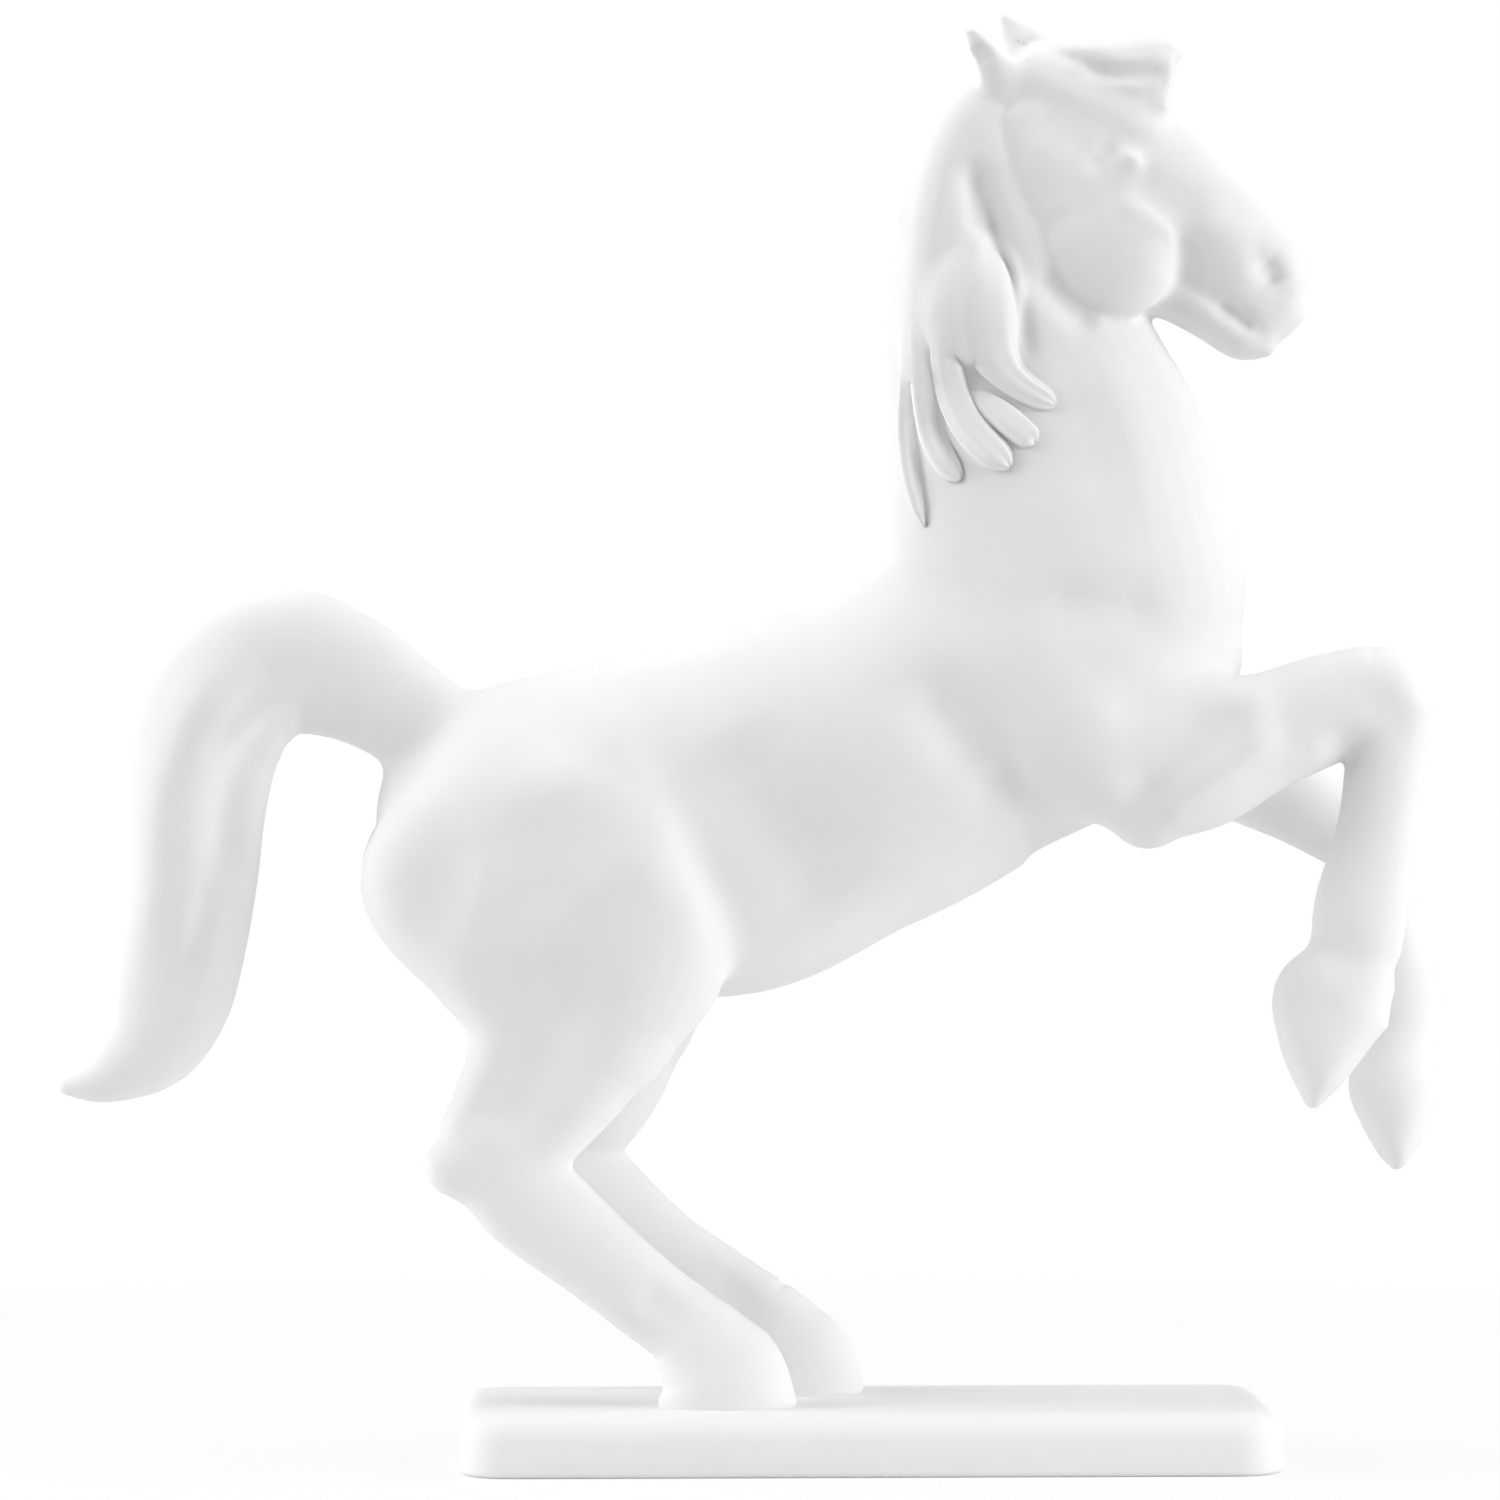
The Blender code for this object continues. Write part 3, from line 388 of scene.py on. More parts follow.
# The hind legs are solid castings that carry the whole horse on the plinth.
# Each one has thigh, hock, cannon and a plain hoof that is luted to the plinth.
HIND_TRACK = 12.2
HAUNCH_OFFSET = 11.5
THIGH_ROOT_OFFSET = 9.0
LEFT_HOCK_FORWARD = 10.0
LEFT_HOOF_FORWARD = 12.2
HOCK_RADII = (4.2, 4.4, 4.2)
FLAT_SOLE = 0.2
GASKIN = ((-30.0, 77.4), (-30.5, 69.9), (-32.3, 63.4), (-36.3, 55.1), (-40.7, 48.6), (-44.2, 42.8))
TENDON = ((-41.7, 62.8), (-42.2, 55.5), (-46.5, 48.4))
FETLOCK = ((-16.0, 17.5), (-13.8, 15.5))
CORONET = ((-10.2, 10.5), (-5.3, 13.0), (-0.7, 15.0))


def shifted(line, forward):
    """A line of the side view moved forward."""
    return tuple((x + forward, z) for x, z in line)


def hind_leg(side, hock, hoof):
    """Thigh, tendon, cannon and foot of a hind leg; hock and hoof stand forward by so much."""
    y = side * HIND_TRACK
    inward = side * (HAUNCH_OFFSET - HIND_TRACK)
    sunk = side * (THIGH_ROOT_OFFSET - HIND_TRACK)
    forms.append(limb((
        (-40.5, 109.5, 12.0, 6.0, sunk), (-38.5, 101.5, 19.0, 9.5, inward),
        (-35.0, 94.0, 24.5, 12.0, inward), (-31.8, 86.5, 28.5, 13.5, inward),
        (-27.5 + 0.2 * hock, 74.5, 25.0, 12.6),
        (-28.6 + 0.4 * hock, 64.5, 17.8, 10.4), (-31.2 + 0.6 * hock, 58.5, 14.4, 9.0),
        (-34.6 + 0.8 * hock, 52.5, 12.5, 8.0), (-38.6 + 0.9 * hock, 46.6, 10.8, 6.9),
        (-44.2 + hock, 41.8, 8.4, 6.0), (-51.2 + hock, 38.6, 4.6, 4.6)), y))
    forms.append(limb((
        (-43.5 + 0.3 * hock, 70.0, 8.0, 7.0), (-40.8 + 0.5 * hock, 64.0, 6.8, 6.6),
        (-41.8 + 0.6 * hock, 58.0, 5.2, 5.6), (-44.2 + 0.85 * hock, 51.0, 5.0, 5.0),
        (-47.5 + hock, 45.0, 4.2, 4.6)), y))
    forms.append(limb((
        (-43.0 + hock, 41.0, 8.4, 6.0), (-37.5 + hock, 34.8, 8.8, 5.6),
        (-24.8 + hock, 24.0, 7.4, 5.0), (-16.0 + hoof, 16.8, 7.0, 5.2),
        (-11.0 + hoof, 13.2, 7.2, 5.8)), y))
    forms.append(limb((
        (-10.5 + hoof, 13.5, 7.2, 5.8), (-7.5 + hoof, 9.2, 8.8, 6.5),
        (-5.0 + hoof, 4.7, 10.8, 7.6), (-3.6 + hoof, -2.0, 11.6, 8.2)), y, FLAT_SOLE))
    forms.append(pellet(-47.5 + hock, 37.6, y, HOCK_RADII))
    broad_marks.append(Mark(shifted(GASKIN, 0.6 * hock), -2.6, 6.5, side))
    broad_marks.append(Mark(shifted(TENDON, 0.8 * hock), 1.1, 3.2, side))
    broad_marks.append(Mark(shifted(FETLOCK, hoof), -1.2, 3.8, side))
    fine_marks.append(Mark(shifted(CORONET, hoof), -0.15, 1.4, side))


hind_leg(RIGHT, 0.0, 0.0)
hind_leg(LEFT, LEFT_HOCK_FORWARD, LEFT_HOOF_FORWARD)

# The forelegs are solid castings luted to the breast, folded for the leap.
# Forearm, knee, cannon and pointed hoof are each one soft oval form.
FORE_TRACK = 11.8
RIGHT_FOREARM = ((64.5, 105.5, 13.0, 9.5), (74.5, 107.8, 12.6, 9.0), (85.3, 111.6, 10.2, 7.6),
                 (96.5, 115.4, 9.0, 6.6), (103.0, 117.0, 8.8, 6.4))
RIGHT_CANNON = ((106.0, 116.0, 7.2, 6.0), (105.2, 106.5, 6.6, 5.3), (103.7, 94.8, 6.5, 5.0),
                (101.4, 83.2, 7.7, 5.1), (100.5, 74.8, 7.8, 5.6))
RIGHT_FOOT = ((100.3, 72.3, 7.8, 6.0), (96.6, 66.3, 10.1, 7.1), (95.0, 59.8, 7.8, 7.1),
              (94.0, 54.0, 4.6, 5.6), (93.3, 49.8, 1.4, 2.8))
LEFT_FOREARM = ((65.3, 104.5, 12.0, 9.0), (77.8, 105.0, 8.5, 8.5), (90.3, 100.6, 7.6, 7.0),
                (102.3, 95.0, 7.8, 6.4))
LEFT_CANNON = ((104.5, 94.5, 7.3, 6.0), (106.4, 84.8, 6.4, 5.3), (108.2, 76.5, 6.1, 5.0),
               (110.2, 66.5, 6.7, 5.4), (110.2, 59.8, 5.8, 5.6))
LEFT_FOOT = ((110.2, 59.8, 5.8, 5.8), (109.2, 52.0, 7.7, 7.0), (109.4, 45.2, 5.8, 6.8),
             (109.6, 39.8, 3.0, 5.0), (109.8, 37.8, 1.2, 2.6))
RIGHT_KNEE = (104.2, 117.2, -FORE_TRACK, (7.6, 6.4, 8.2))
LEFT_KNEE = (104.2, 95.0, FORE_TRACK, (7.4, 6.2, 7.6))
RIGHT_ELBOW = (65.5, 97.6, -FORE_TRACK, (6.5, 7.0, 6.4))
for part in (RIGHT_FOREARM, RIGHT_CANNON, RIGHT_FOOT):
    forms.append(limb(part, -FORE_TRACK))
for part in (LEFT_FOREARM, LEFT_CANNON, LEFT_FOOT):
    forms.append(limb(part, FORE_TRACK))
for ball in (RIGHT_KNEE, LEFT_KNEE, RIGHT_ELBOW):
    forms.append(pellet(*ball))
broad_marks += [
    # muscle of the forearm and the groove over it
    Mark(((64.0, 95.9), (72.9, 102.7), (81.8, 108.9), (88.6, 113.2)), 1.7, 4.0, RIGHT),
    Mark(((60.9, 97.9), (69.1, 105.6), (76.2, 111.9), (84.9, 116.8)), -1.7, 4.5, RIGHT),
    Mark(((78.7, 116.3), (81.0, 115.0)), 1.1, 5.0, RIGHT),
    # hollows of knee, fetlock and hoof
    Mark(((104.4, 115.5), (105.6, 114.2)), -0.7, 4.0, RIGHT),
    Mark(((98.0, 108.9), (98.6, 108.2)), -1.4, 3.4, RIGHT),
    Mark(((96.3, 75.4), (97.3, 74.7)), -1.0, 4.0, RIGHT),
    Mark(((91.3, 67.0), (93.3, 65.4)), -1.0, 5.0, RIGHT),
    Mark(((106.0, 48.3), (107.0, 46.6)), -1.0, 5.0, LEFT),
]

# The ears are two small leaves of clay, modelled by hand and luted on behind the brow.
# They are laid back a little, and each is hollowed on its outer face with a round tool.
RIGHT_EAR = (
    (43.6, 216.0, 4.6, 2.6, -3.4), (42.2, 219.2, 4.0, 2.4, -4.3), (40.3, 222.4, 3.0, 2.1, -5.3),
    (38.2, 225.2, 1.9, 1.6, -6.4), (36.6, 227.4, 0.9, 0.9, -6.7))
LEFT_EAR = (
    (49.0, 218.0, 5.0, 2.8, 4.4), (48.2, 221.8, 5.0, 2.6, 4.9), (46.6, 225.2, 4.0, 2.2, 5.6),
    (44.6, 228.1, 2.3, 1.6, 6.3), (43.0, 230.4, 0.9, 0.9, 6.7))
for ear in (RIGHT_EAR, LEFT_EAR):
    forms.append(limb(ear))
fine_marks += [
    Mark(((37.1, 225.5), (38.3, 223.7), (39.3, 221.8)), -0.9, 1.3, RIGHT, RIGHT),
    Mark(((44.3, 228.7), (45.5, 226.9), (46.5, 225.0)), -0.9, 1.3, LEFT, LEFT),
]

# The forelock is a wedge of hair laid forward over the brow, blunt at its front end.
# It is modelled on the head, and one long groove parts it into an upper and a lower lock.
FORELOCK = (
    (47.4, 224.6, 1.5, 2.2, 4.8), (51.0, 224.1, 1.9, 3.8, 2.8), (54.5, 223.7, 2.5, 5.0, 1.2),
    (58.0, 223.0, 3.4, 5.7, 0.3), (62.0, 221.9, 4.8, 6.0), (67.0, 221.0, 6.4, 5.8),
    (69.8, 220.6, 5.8, 5.0))
FORELOCK_ROOT = (
    (46.0, 221.0, 3.6, 5.0), (51.5, 220.0, 4.6, 5.6), (57.5, 218.0, 5.6, 6.0),
    (64.0, 216.4, 6.4, 6.2), (69.0, 216.2, 4.8, 5.0))
FORELOCK_CURL = (69.4, 224.4, 0.0, (2.9, 4.0, 2.4))
BLUNT_END = 0.25
forms.append(limb(FORELOCK, dome=BLUNT_END))
forms.append(limb(FORELOCK_ROOT, dome=BLUNT_END))
forms.append(pellet(*FORELOCK_CURL))
fine_marks += [
    # the parting groove, then finer strands
    Mark(((54.6, 221.8), (59.2, 220.8), (64.8, 220.7), (70.5, 220.7)), -1.1, 1.5),
    Mark(((49.9, 223.5), (55.7, 223.2), (61.5, 224.2), (69.0, 223.8)), -0.25, 1.0),
    Mark(((61.5, 217.5), (64.8, 216.8), (67.5, 216.5)), -0.35, 1.4),
    Mark(((60.7, 218.8), (64.8, 218.7), (69.0, 218.5)), 0.4, 1.2),
]

# All castings are pressed together while damp and become one skin of clay.
# The modelling marks go into it, and it is parted again where the slip seams are.
CLAY_GRAIN = 0.0006
FETTLING_ROUNDS = 6
FETTLING_STROKES = 10
SMOOTH, SWELL_BACK = 0.5, -0.51
SOFT_ROUNDS = 260
DAMP_LEVELS = 12
LINE_ROUNDINGS = 2
MARK_REACH = 2.6
MARK_FACE = (0.05, 0.40)
MARK_ENDS = 0.25
SHORT_MARK_END = 0.35
SIDEWAYS = 0.65
# lines in the side view along which one form flows into the next, how wide and how strongly
SOFT_LINES = (
    (((-55.5, 99.8), (-48.9, 105.6), (-36.4, 110.6), (-21.4, 112.3)), 12.0, 1.0),
    (((-18.0, 104.8), (-9.7, 91.4), (-3.0, 78.1)), 6.0, 0.7),
    (((53.3, 203.4), (60.3, 202.8)), 4.0, 0.5),
    (((29.5, 211.4), (26.6, 201.4), (25.0, 189.8), (24.6, 178.1)), 5.0, 0.8),
    (((86.6, 180.1), (91.6, 178.1)), 3.0, 0.5),
    (((42.0, 221.4), (48.6, 218.1), (58.6, 213.4), (68.6, 208.4), (73.6, 205.6)), 4.0, 0.3),
    (((-21.4, 116.4), (2.0, 119.8), (18.6, 123.9)), 9.0, 1.0),
    (((-53.9, 86.4), (-46.4, 73.1), (-41.4, 64.8)), 7.0, 0.8),
    (((-45.0, 95.6), (-46.4, 90.9), (-48.5, 80.6), (-50.5, 69.8)), 10.0, 1.0),
    (((22.0, 136.4), (35.3, 129.8), (52.0, 123.1), (68.6, 119.8)), 10.0, 1.0),
    (((42.0, 126.4), (52.0, 113.1), (55.3, 99.8)), 9.0, 1.0),
    (((63.6, 126.4), (63.3, 111.4), (63.3, 96.4)), 8.0, 1.0),
    (((72.0, 118.1), (75.3, 123.1), (82.0, 126.4)), 6.0, 1.0),
    (((105.3, 116.4), (106.1, 113.1)), 5.0, 0.4),
    (((77.3, 123.1), (83.0, 120.8)), 5.0, 1.0),
    (((94.5, 73.9), (105.3, 73.9)), 4.0, 0.35),
    (((103.6, 56.4), (112.0, 56.4)), 4.0, 0.35),
    (((-53.0, 41.4), (-31.4, 41.4)), 4.0, 0.3),
    (((-53.4, 36.4), (-46.4, 33.1)), 4.0, 0.6),
    (((-14.7, 14.8), (-1.4, 18.1)), 4.0, 0.3),
)
VENT = (-0.0010, 0.0, 0.0774)
VENT_EDGE = (0.0008, 0.0016)
VENT_DEPTH = 0.0022


def result_of(obj):
    """The mesh that an object's modifiers make; the object itself goes."""
    graph = bpy.context.evaluated_depsgraph_get()
    mesh = bpy.data.meshes.new_from_object(obj.evaluated_get(graph))
    bpy.data.objects.remove(obj)
    return mesh


def pressed(name, parts):
    """Overlapping clay forms pressed into one body, its creases sponged soft."""
    bm = bmesh.new()
    for part in parts:
        bm.from_mesh(part)
    bmesh.ops.recalc_face_normals(bm, faces=bm.faces)
    lump = placed(name, mesh_from(bm, name))
    press = lump.modifiers.new("press", "REMESH")
    press.mode = "VOXEL"
    press.voxel_size = CLAY_GRAIN
    for amount in (SMOOTH, SWELL_BACK) * FETTLING_ROUNDS:
        sponge = lump.modifiers.new("sponge", "SMOOTH")
        sponge.factor = amount
        sponge.iterations = FETTLING_STROKES
    return result_of(lump)


def sponged(mesh, weights):
    """A skin sponged softer where the weights say so."""
    body = placed("damp", mesh)
    group = body.vertex_groups.new(name="damp")
    levels = np.round(weights * DAMP_LEVELS).astype(int)
    for level in range(1, DAMP_LEVELS + 1):
        group.add(np.nonzero(levels == level)[0].tolist(), level / DAMP_LEVELS, "REPLACE")
    sponge = body.modifiers.new("sponge", "SMOOTH")
    sponge.factor = SMOOTH
    sponge.iterations = SOFT_ROUNDS
    sponge.vertex_group = "damp"
    return result_of(body)


def points_of(mesh):
    points = np.zeros(3 * len(mesh.vertices))
    mesh.vertices.foreach_get("co", points)
    return points.reshape(-1, 3)


def normals_of(mesh):
    normals = np.zeros(3 * len(mesh.vertices))
    mesh.vertex_normals.foreach_get("vector", normals)
    return normals.reshape(-1, 3)


def settle(mesh, points):
    """Moves a mesh's points."""
    mesh.vertices.foreach_set("co", points.ravel())
    mesh.update()


def side_view(points):
    """Points as the side view shows them, over the plinth."""
    return np.stack([points[:, 0], points[:, 2] - GROUND], 1)


def nearness(flat, line):
    """Distance of side-view points from a line, how far along it they lie, and on which side."""
    line = np.array(line) * MM
    for _ in range(LINE_ROUNDINGS if len(line) > 2 else 0):
        bends = np.stack([0.75 * line[:-1] + 0.25 * line[1:],
                          0.25 * line[:-1] + 0.75 * line[1:]], 1)
        line = np.concatenate([line[:1], bends.reshape(-1, 2)[1:-1], line[-1:]])
    steps = np.linalg.norm(np.diff(line, axis=0), axis=1)
    starts = np.concatenate([[0.0], np.cumsum(steps)])
    best = np.full(len(flat), 1.0)
    along = np.zeros(len(flat))
    hand = np.zeros(len(flat))
    for i, (a, b) in enumerate(zip(line, line[1:])):
        t = np.clip((flat - a) @ (b - a) / max(steps[i] ** 2, 1e-12), 0, 1)
        gap = np.linalg.norm(flat - a - t[:, None] * (b - a), axis=1)
        closer = gap < best
        best[closer] = gap[closer]
        along[closer] = (starts[i] + t[closer] * steps[i]) / starts[-1]
        away = flat[closer] - a
        hand[closer] = np.sign((b - a)[0] * away[:, 1] - (b - a)[1] * away[:, 0])
    return best, along, hand


def ramp(values, low, high):
    """Rises smoothly from 0 at low to 1 at high."""
    t = np.clip((values - low) / (high - low), 0, 1)
    return t * t * (3 - 2 * t)


def modelled(mesh, marks):
    """Presses and lifts a skin of clay along the tool's marks."""
    points = points_of(mesh)
    normals = normals_of(mesh)
    flat = side_view(points)
    lift = np.zeros(len(points))
    for mark in marks:
        line = np.array(mark.line) * MM
        width = mark.width * MM
        reach = MARK_REACH * MM * max(mark.width, mark.right_width)
        low = line.min(0) - reach
        high = line.max(0) + reach
        near = np.all((flat > low) & (flat < high), axis=1)
        if mark.half:
            near &= points[:, 1] * mark.half > 0
        near = np.nonzero(near)[0]
        gap, along, hand = nearness(flat[near], mark.line)
        if mark.right_width:
            width = np.where(hand < 0, MM * mark.right_width, width)
        face = normals[near, 1] * mark.face if mark.face else np.abs(normals[near, 1])
        weight = np.exp(-(gap / width) ** 2) * ramp(face, *MARK_FACE)
        if len(line) > 2:
            ends = 0.0 if len(line) > 3 else SHORT_MARK_END
            weight *= ends + (1 - ends) * ramp(np.minimum(along, 1 - along), 0.0, MARK_ENDS)
        lift[near] += MM * mark.lift * weight
    way = normals * (1 - SIDEWAYS)
    way[:, 1] += SIDEWAYS * np.sign(normals[:, 1])
    settle(mesh, points + way * lift[:, None])


def near_line(mesh, line, width):
    """Weight of each point of a skin, by its distance from a line in the side view."""
    gap = nearness(side_view(points_of(mesh)), line)[0]
    return np.exp(-(gap / (MM * width)) ** 2)


skin = pressed("horse_clay", forms)
soft = np.zeros(len(skin.vertices))
for line, width, strength in SOFT_LINES:
    soft = np.maximum(soft, strength * near_line(skin, line, width))
skin = sponged(skin, soft)
modelled(skin, broad_marks)
modelled(skin, fine_marks)
points = points_of(skin)
bored = 1 - ramp(np.linalg.norm(points - np.array(VENT), axis=1), *VENT_EDGE)
points[:, 2] += VENT_DEPTH * bored
settle(skin, points)

# where each casting begins: a point of its seam and the way it faces in the side view
Seam = namedtuple("Seam", "x z ahead_x ahead_z")
SEAMS = {
    "neck": Seam(53.0, 134.5, 0.15, 0.99),
    "head": Seam(45.3, 187.2, 0.42, 0.91),
    "tail": Seam(-57.0, 111.2, -0.76, 0.65),
    "right_foreleg": Seam(80.5, 108.0, 0.97, -0.25),
    "left_foreleg": Seam(80.0, 104.0, 0.97, -0.25),
    "right_hind_leg": Seam(-28.3, 61.5, 0.13, -0.99),
    "left_hind_leg": Seam(-28.3 + 0.4 * LEFT_HOCK_FORWARD, 61.5, 0.13, -0.99),
    "forelock": Seam(58.0, 220.0, 0.430, 0.903),
    "right_ear": Seam(42.3, 221.8, -0.35, 0.94),
    "left_ear": Seam(46.4, 226.6, -0.30, 0.95),
}
CASTINGS = ("trunk", *SEAMS)
# the room that each casting can lie in: its least and its greatest x, y and z
FAR = 999.0
ROOMS = {
    "neck": ((15.0, -FAR, 120.0), (FAR, FAR, FAR)),
    "head": ((-FAR, -FAR, 150.0), (FAR, FAR, FAR)),
    "tail": ((-FAR, -FAR, 85.0), (-45.0, FAR, FAR)),
    "right_foreleg": ((60.0, -FAR, -FAR), (FAR, 0.0, 134.0)),
    "left_foreleg": ((60.0, 0.0, -FAR), (FAR, FAR, 134.0)),
    "right_hind_leg": ((-66.0, -FAR, -FAR), (30.0, 0.0, 80.0)),
    "left_hind_leg": ((-66.0, 0.0, -FAR), (30.0, FAR, 80.0)),
    "forelock": ((41.0, -FAR, 205.0), (FAR, FAR, FAR)),
    "right_ear": ((-FAR, -FAR, 205.0), (44.0, -2.2, FAR)),
    "left_ear": ((-FAR, 0.0, 205.0), (50.0, FAR, FAR)),
}
TAIL_ALONE = -70.0
SEAM_SNAP = 2e-5


def past(points, name):
    """How far points lie past a casting's seam."""
    seam = SEAMS[name]
    ahead = np.array(seam[2:])
    return (side_view(points) - MM * np.array(seam[:2])) @ ahead / np.linalg.norm(ahead)


def may_be(points, name):
    """Which points lie in the room of a casting."""
    low, high = MM * np.array(ROOMS[name])
    over_plinth = points - np.array((0.0, 0.0, GROUND))
    return np.all((over_plinth >= low) & (over_plinth < high), axis=1)


def casting_of(points):
    """The number of the casting that each point belongs to."""
    number = np.zeros(len(points), int)
    for name in SEAMS:
        number[may_be(points, name) & (past(points, name) > 0)] = CASTINGS.index(name)
    number[points[:, 0] < MM * TAIL_ALONE] = CASTINGS.index("tail")
    return number


def parted(mesh):
    """The skin cut at the slip seams; gives one mesh for each casting."""
    points = points_of(mesh)
    bm = bmesh.new()
    bm.from_mesh(mesh)
    bm.faces.ensure_lookup_table()
    corners = np.array([[v.index for v in f.verts] for f in bm.faces])
    crossed = {}
    for name in SEAMS:
        reach = past(points, name)[corners]
        cut = (reach.min(1) < 0) & (reach.max(1) > 0) & may_be(points[corners].mean(1), name)
        crossed[name] = [bm.faces[i] for i in np.nonzero(cut)[0]]
    for name, seam in SEAMS.items():
        faces = crossed[name]
        ahead = Vector((seam.ahead_x, 0, seam.ahead_z)).normalized()
        point = Vector((MM * seam.x, 0, MM * seam.z + GROUND))
        edges = {e for f in faces for e in f.edges}
        verts = {v for f in faces for v in f.verts}
        bmesh.ops.bisect_plane(bm, geom=[*verts, *edges, *faces], dist=SEAM_SNAP,
                               use_snap_center=True, plane_co=point, plane_no=ahead)
    bmesh.ops.triangulate(bm, faces=[f for f in bm.faces if len(f.verts) > 4])
    cut = mesh_from(bm, "cut_skin")
    points = points_of(cut)
    normals = normals_of(cut)
    faces = [tuple(p.vertices) for p in cut.polygons]
    centres = np.array([points[list(f)].mean(0) for f in faces])
    numbers = casting_of(centres)
    meshes = {}
    for number, name in enumerate(CASTINGS):
        own = [faces[i] for i in np.nonzero(numbers == number)[0]]
        used = np.unique(np.concatenate([np.array(f) for f in own]))
        place = np.full(len(points), -1)
        place[used] = np.arange(len(used))
        part = bpy.data.meshes.new(name + "_biscuit")
        part.from_pydata(points[used].tolist(), [], [tuple(place[list(f)]) for f in own])
        meshes[name] = closed(part, normals[used])
    return meshes


def closed(part, normals):
    """A casting's mesh closed at its seams, with the soft shading of the whole skin."""
    count = len(part.polygons)
    bm = bmesh.new()
    bm.from_mesh(part)
    bmesh.ops.holes_fill(bm, edges=[e for e in bm.edges if e.is_boundary], sides=0)
    bmesh.ops.recalc_face_normals(bm, faces=bm.faces)
    bm.to_mesh(part)
    bm.free()
    part.shade_smooth()
    loops = np.zeros(len(part.loops), int)
    part.loops.foreach_get("vertex_index", loops)
    soft = normals[loops]
    for cap in list(part.polygons)[count:]:
        soft[list(cap.loop_indices)] = cap.normal
    part.normals_split_custom_set(soft.tolist())
    return part


for name, mesh in parted(skin).items():
    porcelain_piece(name + "_biscuit", mesh, name)

# The mane falls to the right in five locks, rolled from clay and laid on the neck while damp.
# Each lock starts under the crest hair, swells, and ends in a rounded tip with drawn strands.
LOCK_SIDES = 40
LOCK_STEPS = 90
LOCK_FLATNESS = 0.60
LOCK_TIP = 0.09
LOCK_FILLET = 0.0014
LOCK_CALM = 30
TIP_CLOSED = 0.99
STRAND_DEPTH = 0.00022
BESIDE_NECK = -0.2
# points of each lock in the side view: x, z, half width, and how far its middle lies off the neck
LOCKS = {
    "mane_lock_1": (((39.8, 190.7, 2.2, -3.2), (39.1, 186.2, 4.3, -2.6), (39.0, 180.4, 5.0, -2.0),
          (40.0, 174.6, 4.2, -1.2), (43.0, 169.9, 3.0, -0.1), (47.1, 167.0, 2.2, 0.5),
          (51.4, 165.1, 1.7, 0.5)), 4),
    "mane_lock_2": (((35.9, 169.0, 1.3, -1.8), (38.8, 165.9, 2.1, -0.4), (42.1, 163.2, 2.4, 0.5),
          (45.0, 160.7, 2.3, 0.6), (47.3, 158.7, 1.8, 0.4)), 2),
    "mane_lock_3": (((37.7, 191.1, 1.3, -2.8), (35.1, 186.8, 2.0, -2.0), (32.9, 182.0, 2.2, -1.2),
          (32.0, 175.4, 2.3, -0.6), (33.2, 168.4, 2.7, 0.2), (35.9, 162.2, 2.9, 0.7),
          (39.5, 158.0, 2.8, 0.9), (43.9, 154.3, 2.2, 0.6)), 3),
    "mane_lock_4": (((29.0, 193.6, 0.7, -3.0), (28.4, 186.2, 1.5, -2.2), (28.4, 178.7, 2.2, -1.5),
          (28.9, 170.5, 2.5, -0.8), (29.9, 162.2, 2.4, 0.1), (31.8, 156.4, 2.2, 0.6),
          (35.7, 152.1, 1.5, 0.4)), 3),
    "mane_lock_5": (((27.4, 187.8, 0.7, -2.4), (26.9, 179.6, 1.3, -2.0), (26.6, 170.5, 1.8, -1.5),
          (26.6, 162.2, 2.2, -0.7), (27.2, 153.9, 2.1, 0.4), (28.4, 148.1, 1.5, 0.4),
          (29.3, 143.8, 0.9, 0.2)), 3),
}


def maths(tree, operation, *values):
    """A math node in a tree, fed with numbers or sockets; gives its output."""
    made = tree.nodes.new("ShaderNodeMath")
    made.operation = operation
    for socket, value in zip(made.inputs, values):
        if isinstance(value, (int, float)):
            socket.default_value = value
        else:
            tree.links.new(value, socket)
    return made.outputs[0]


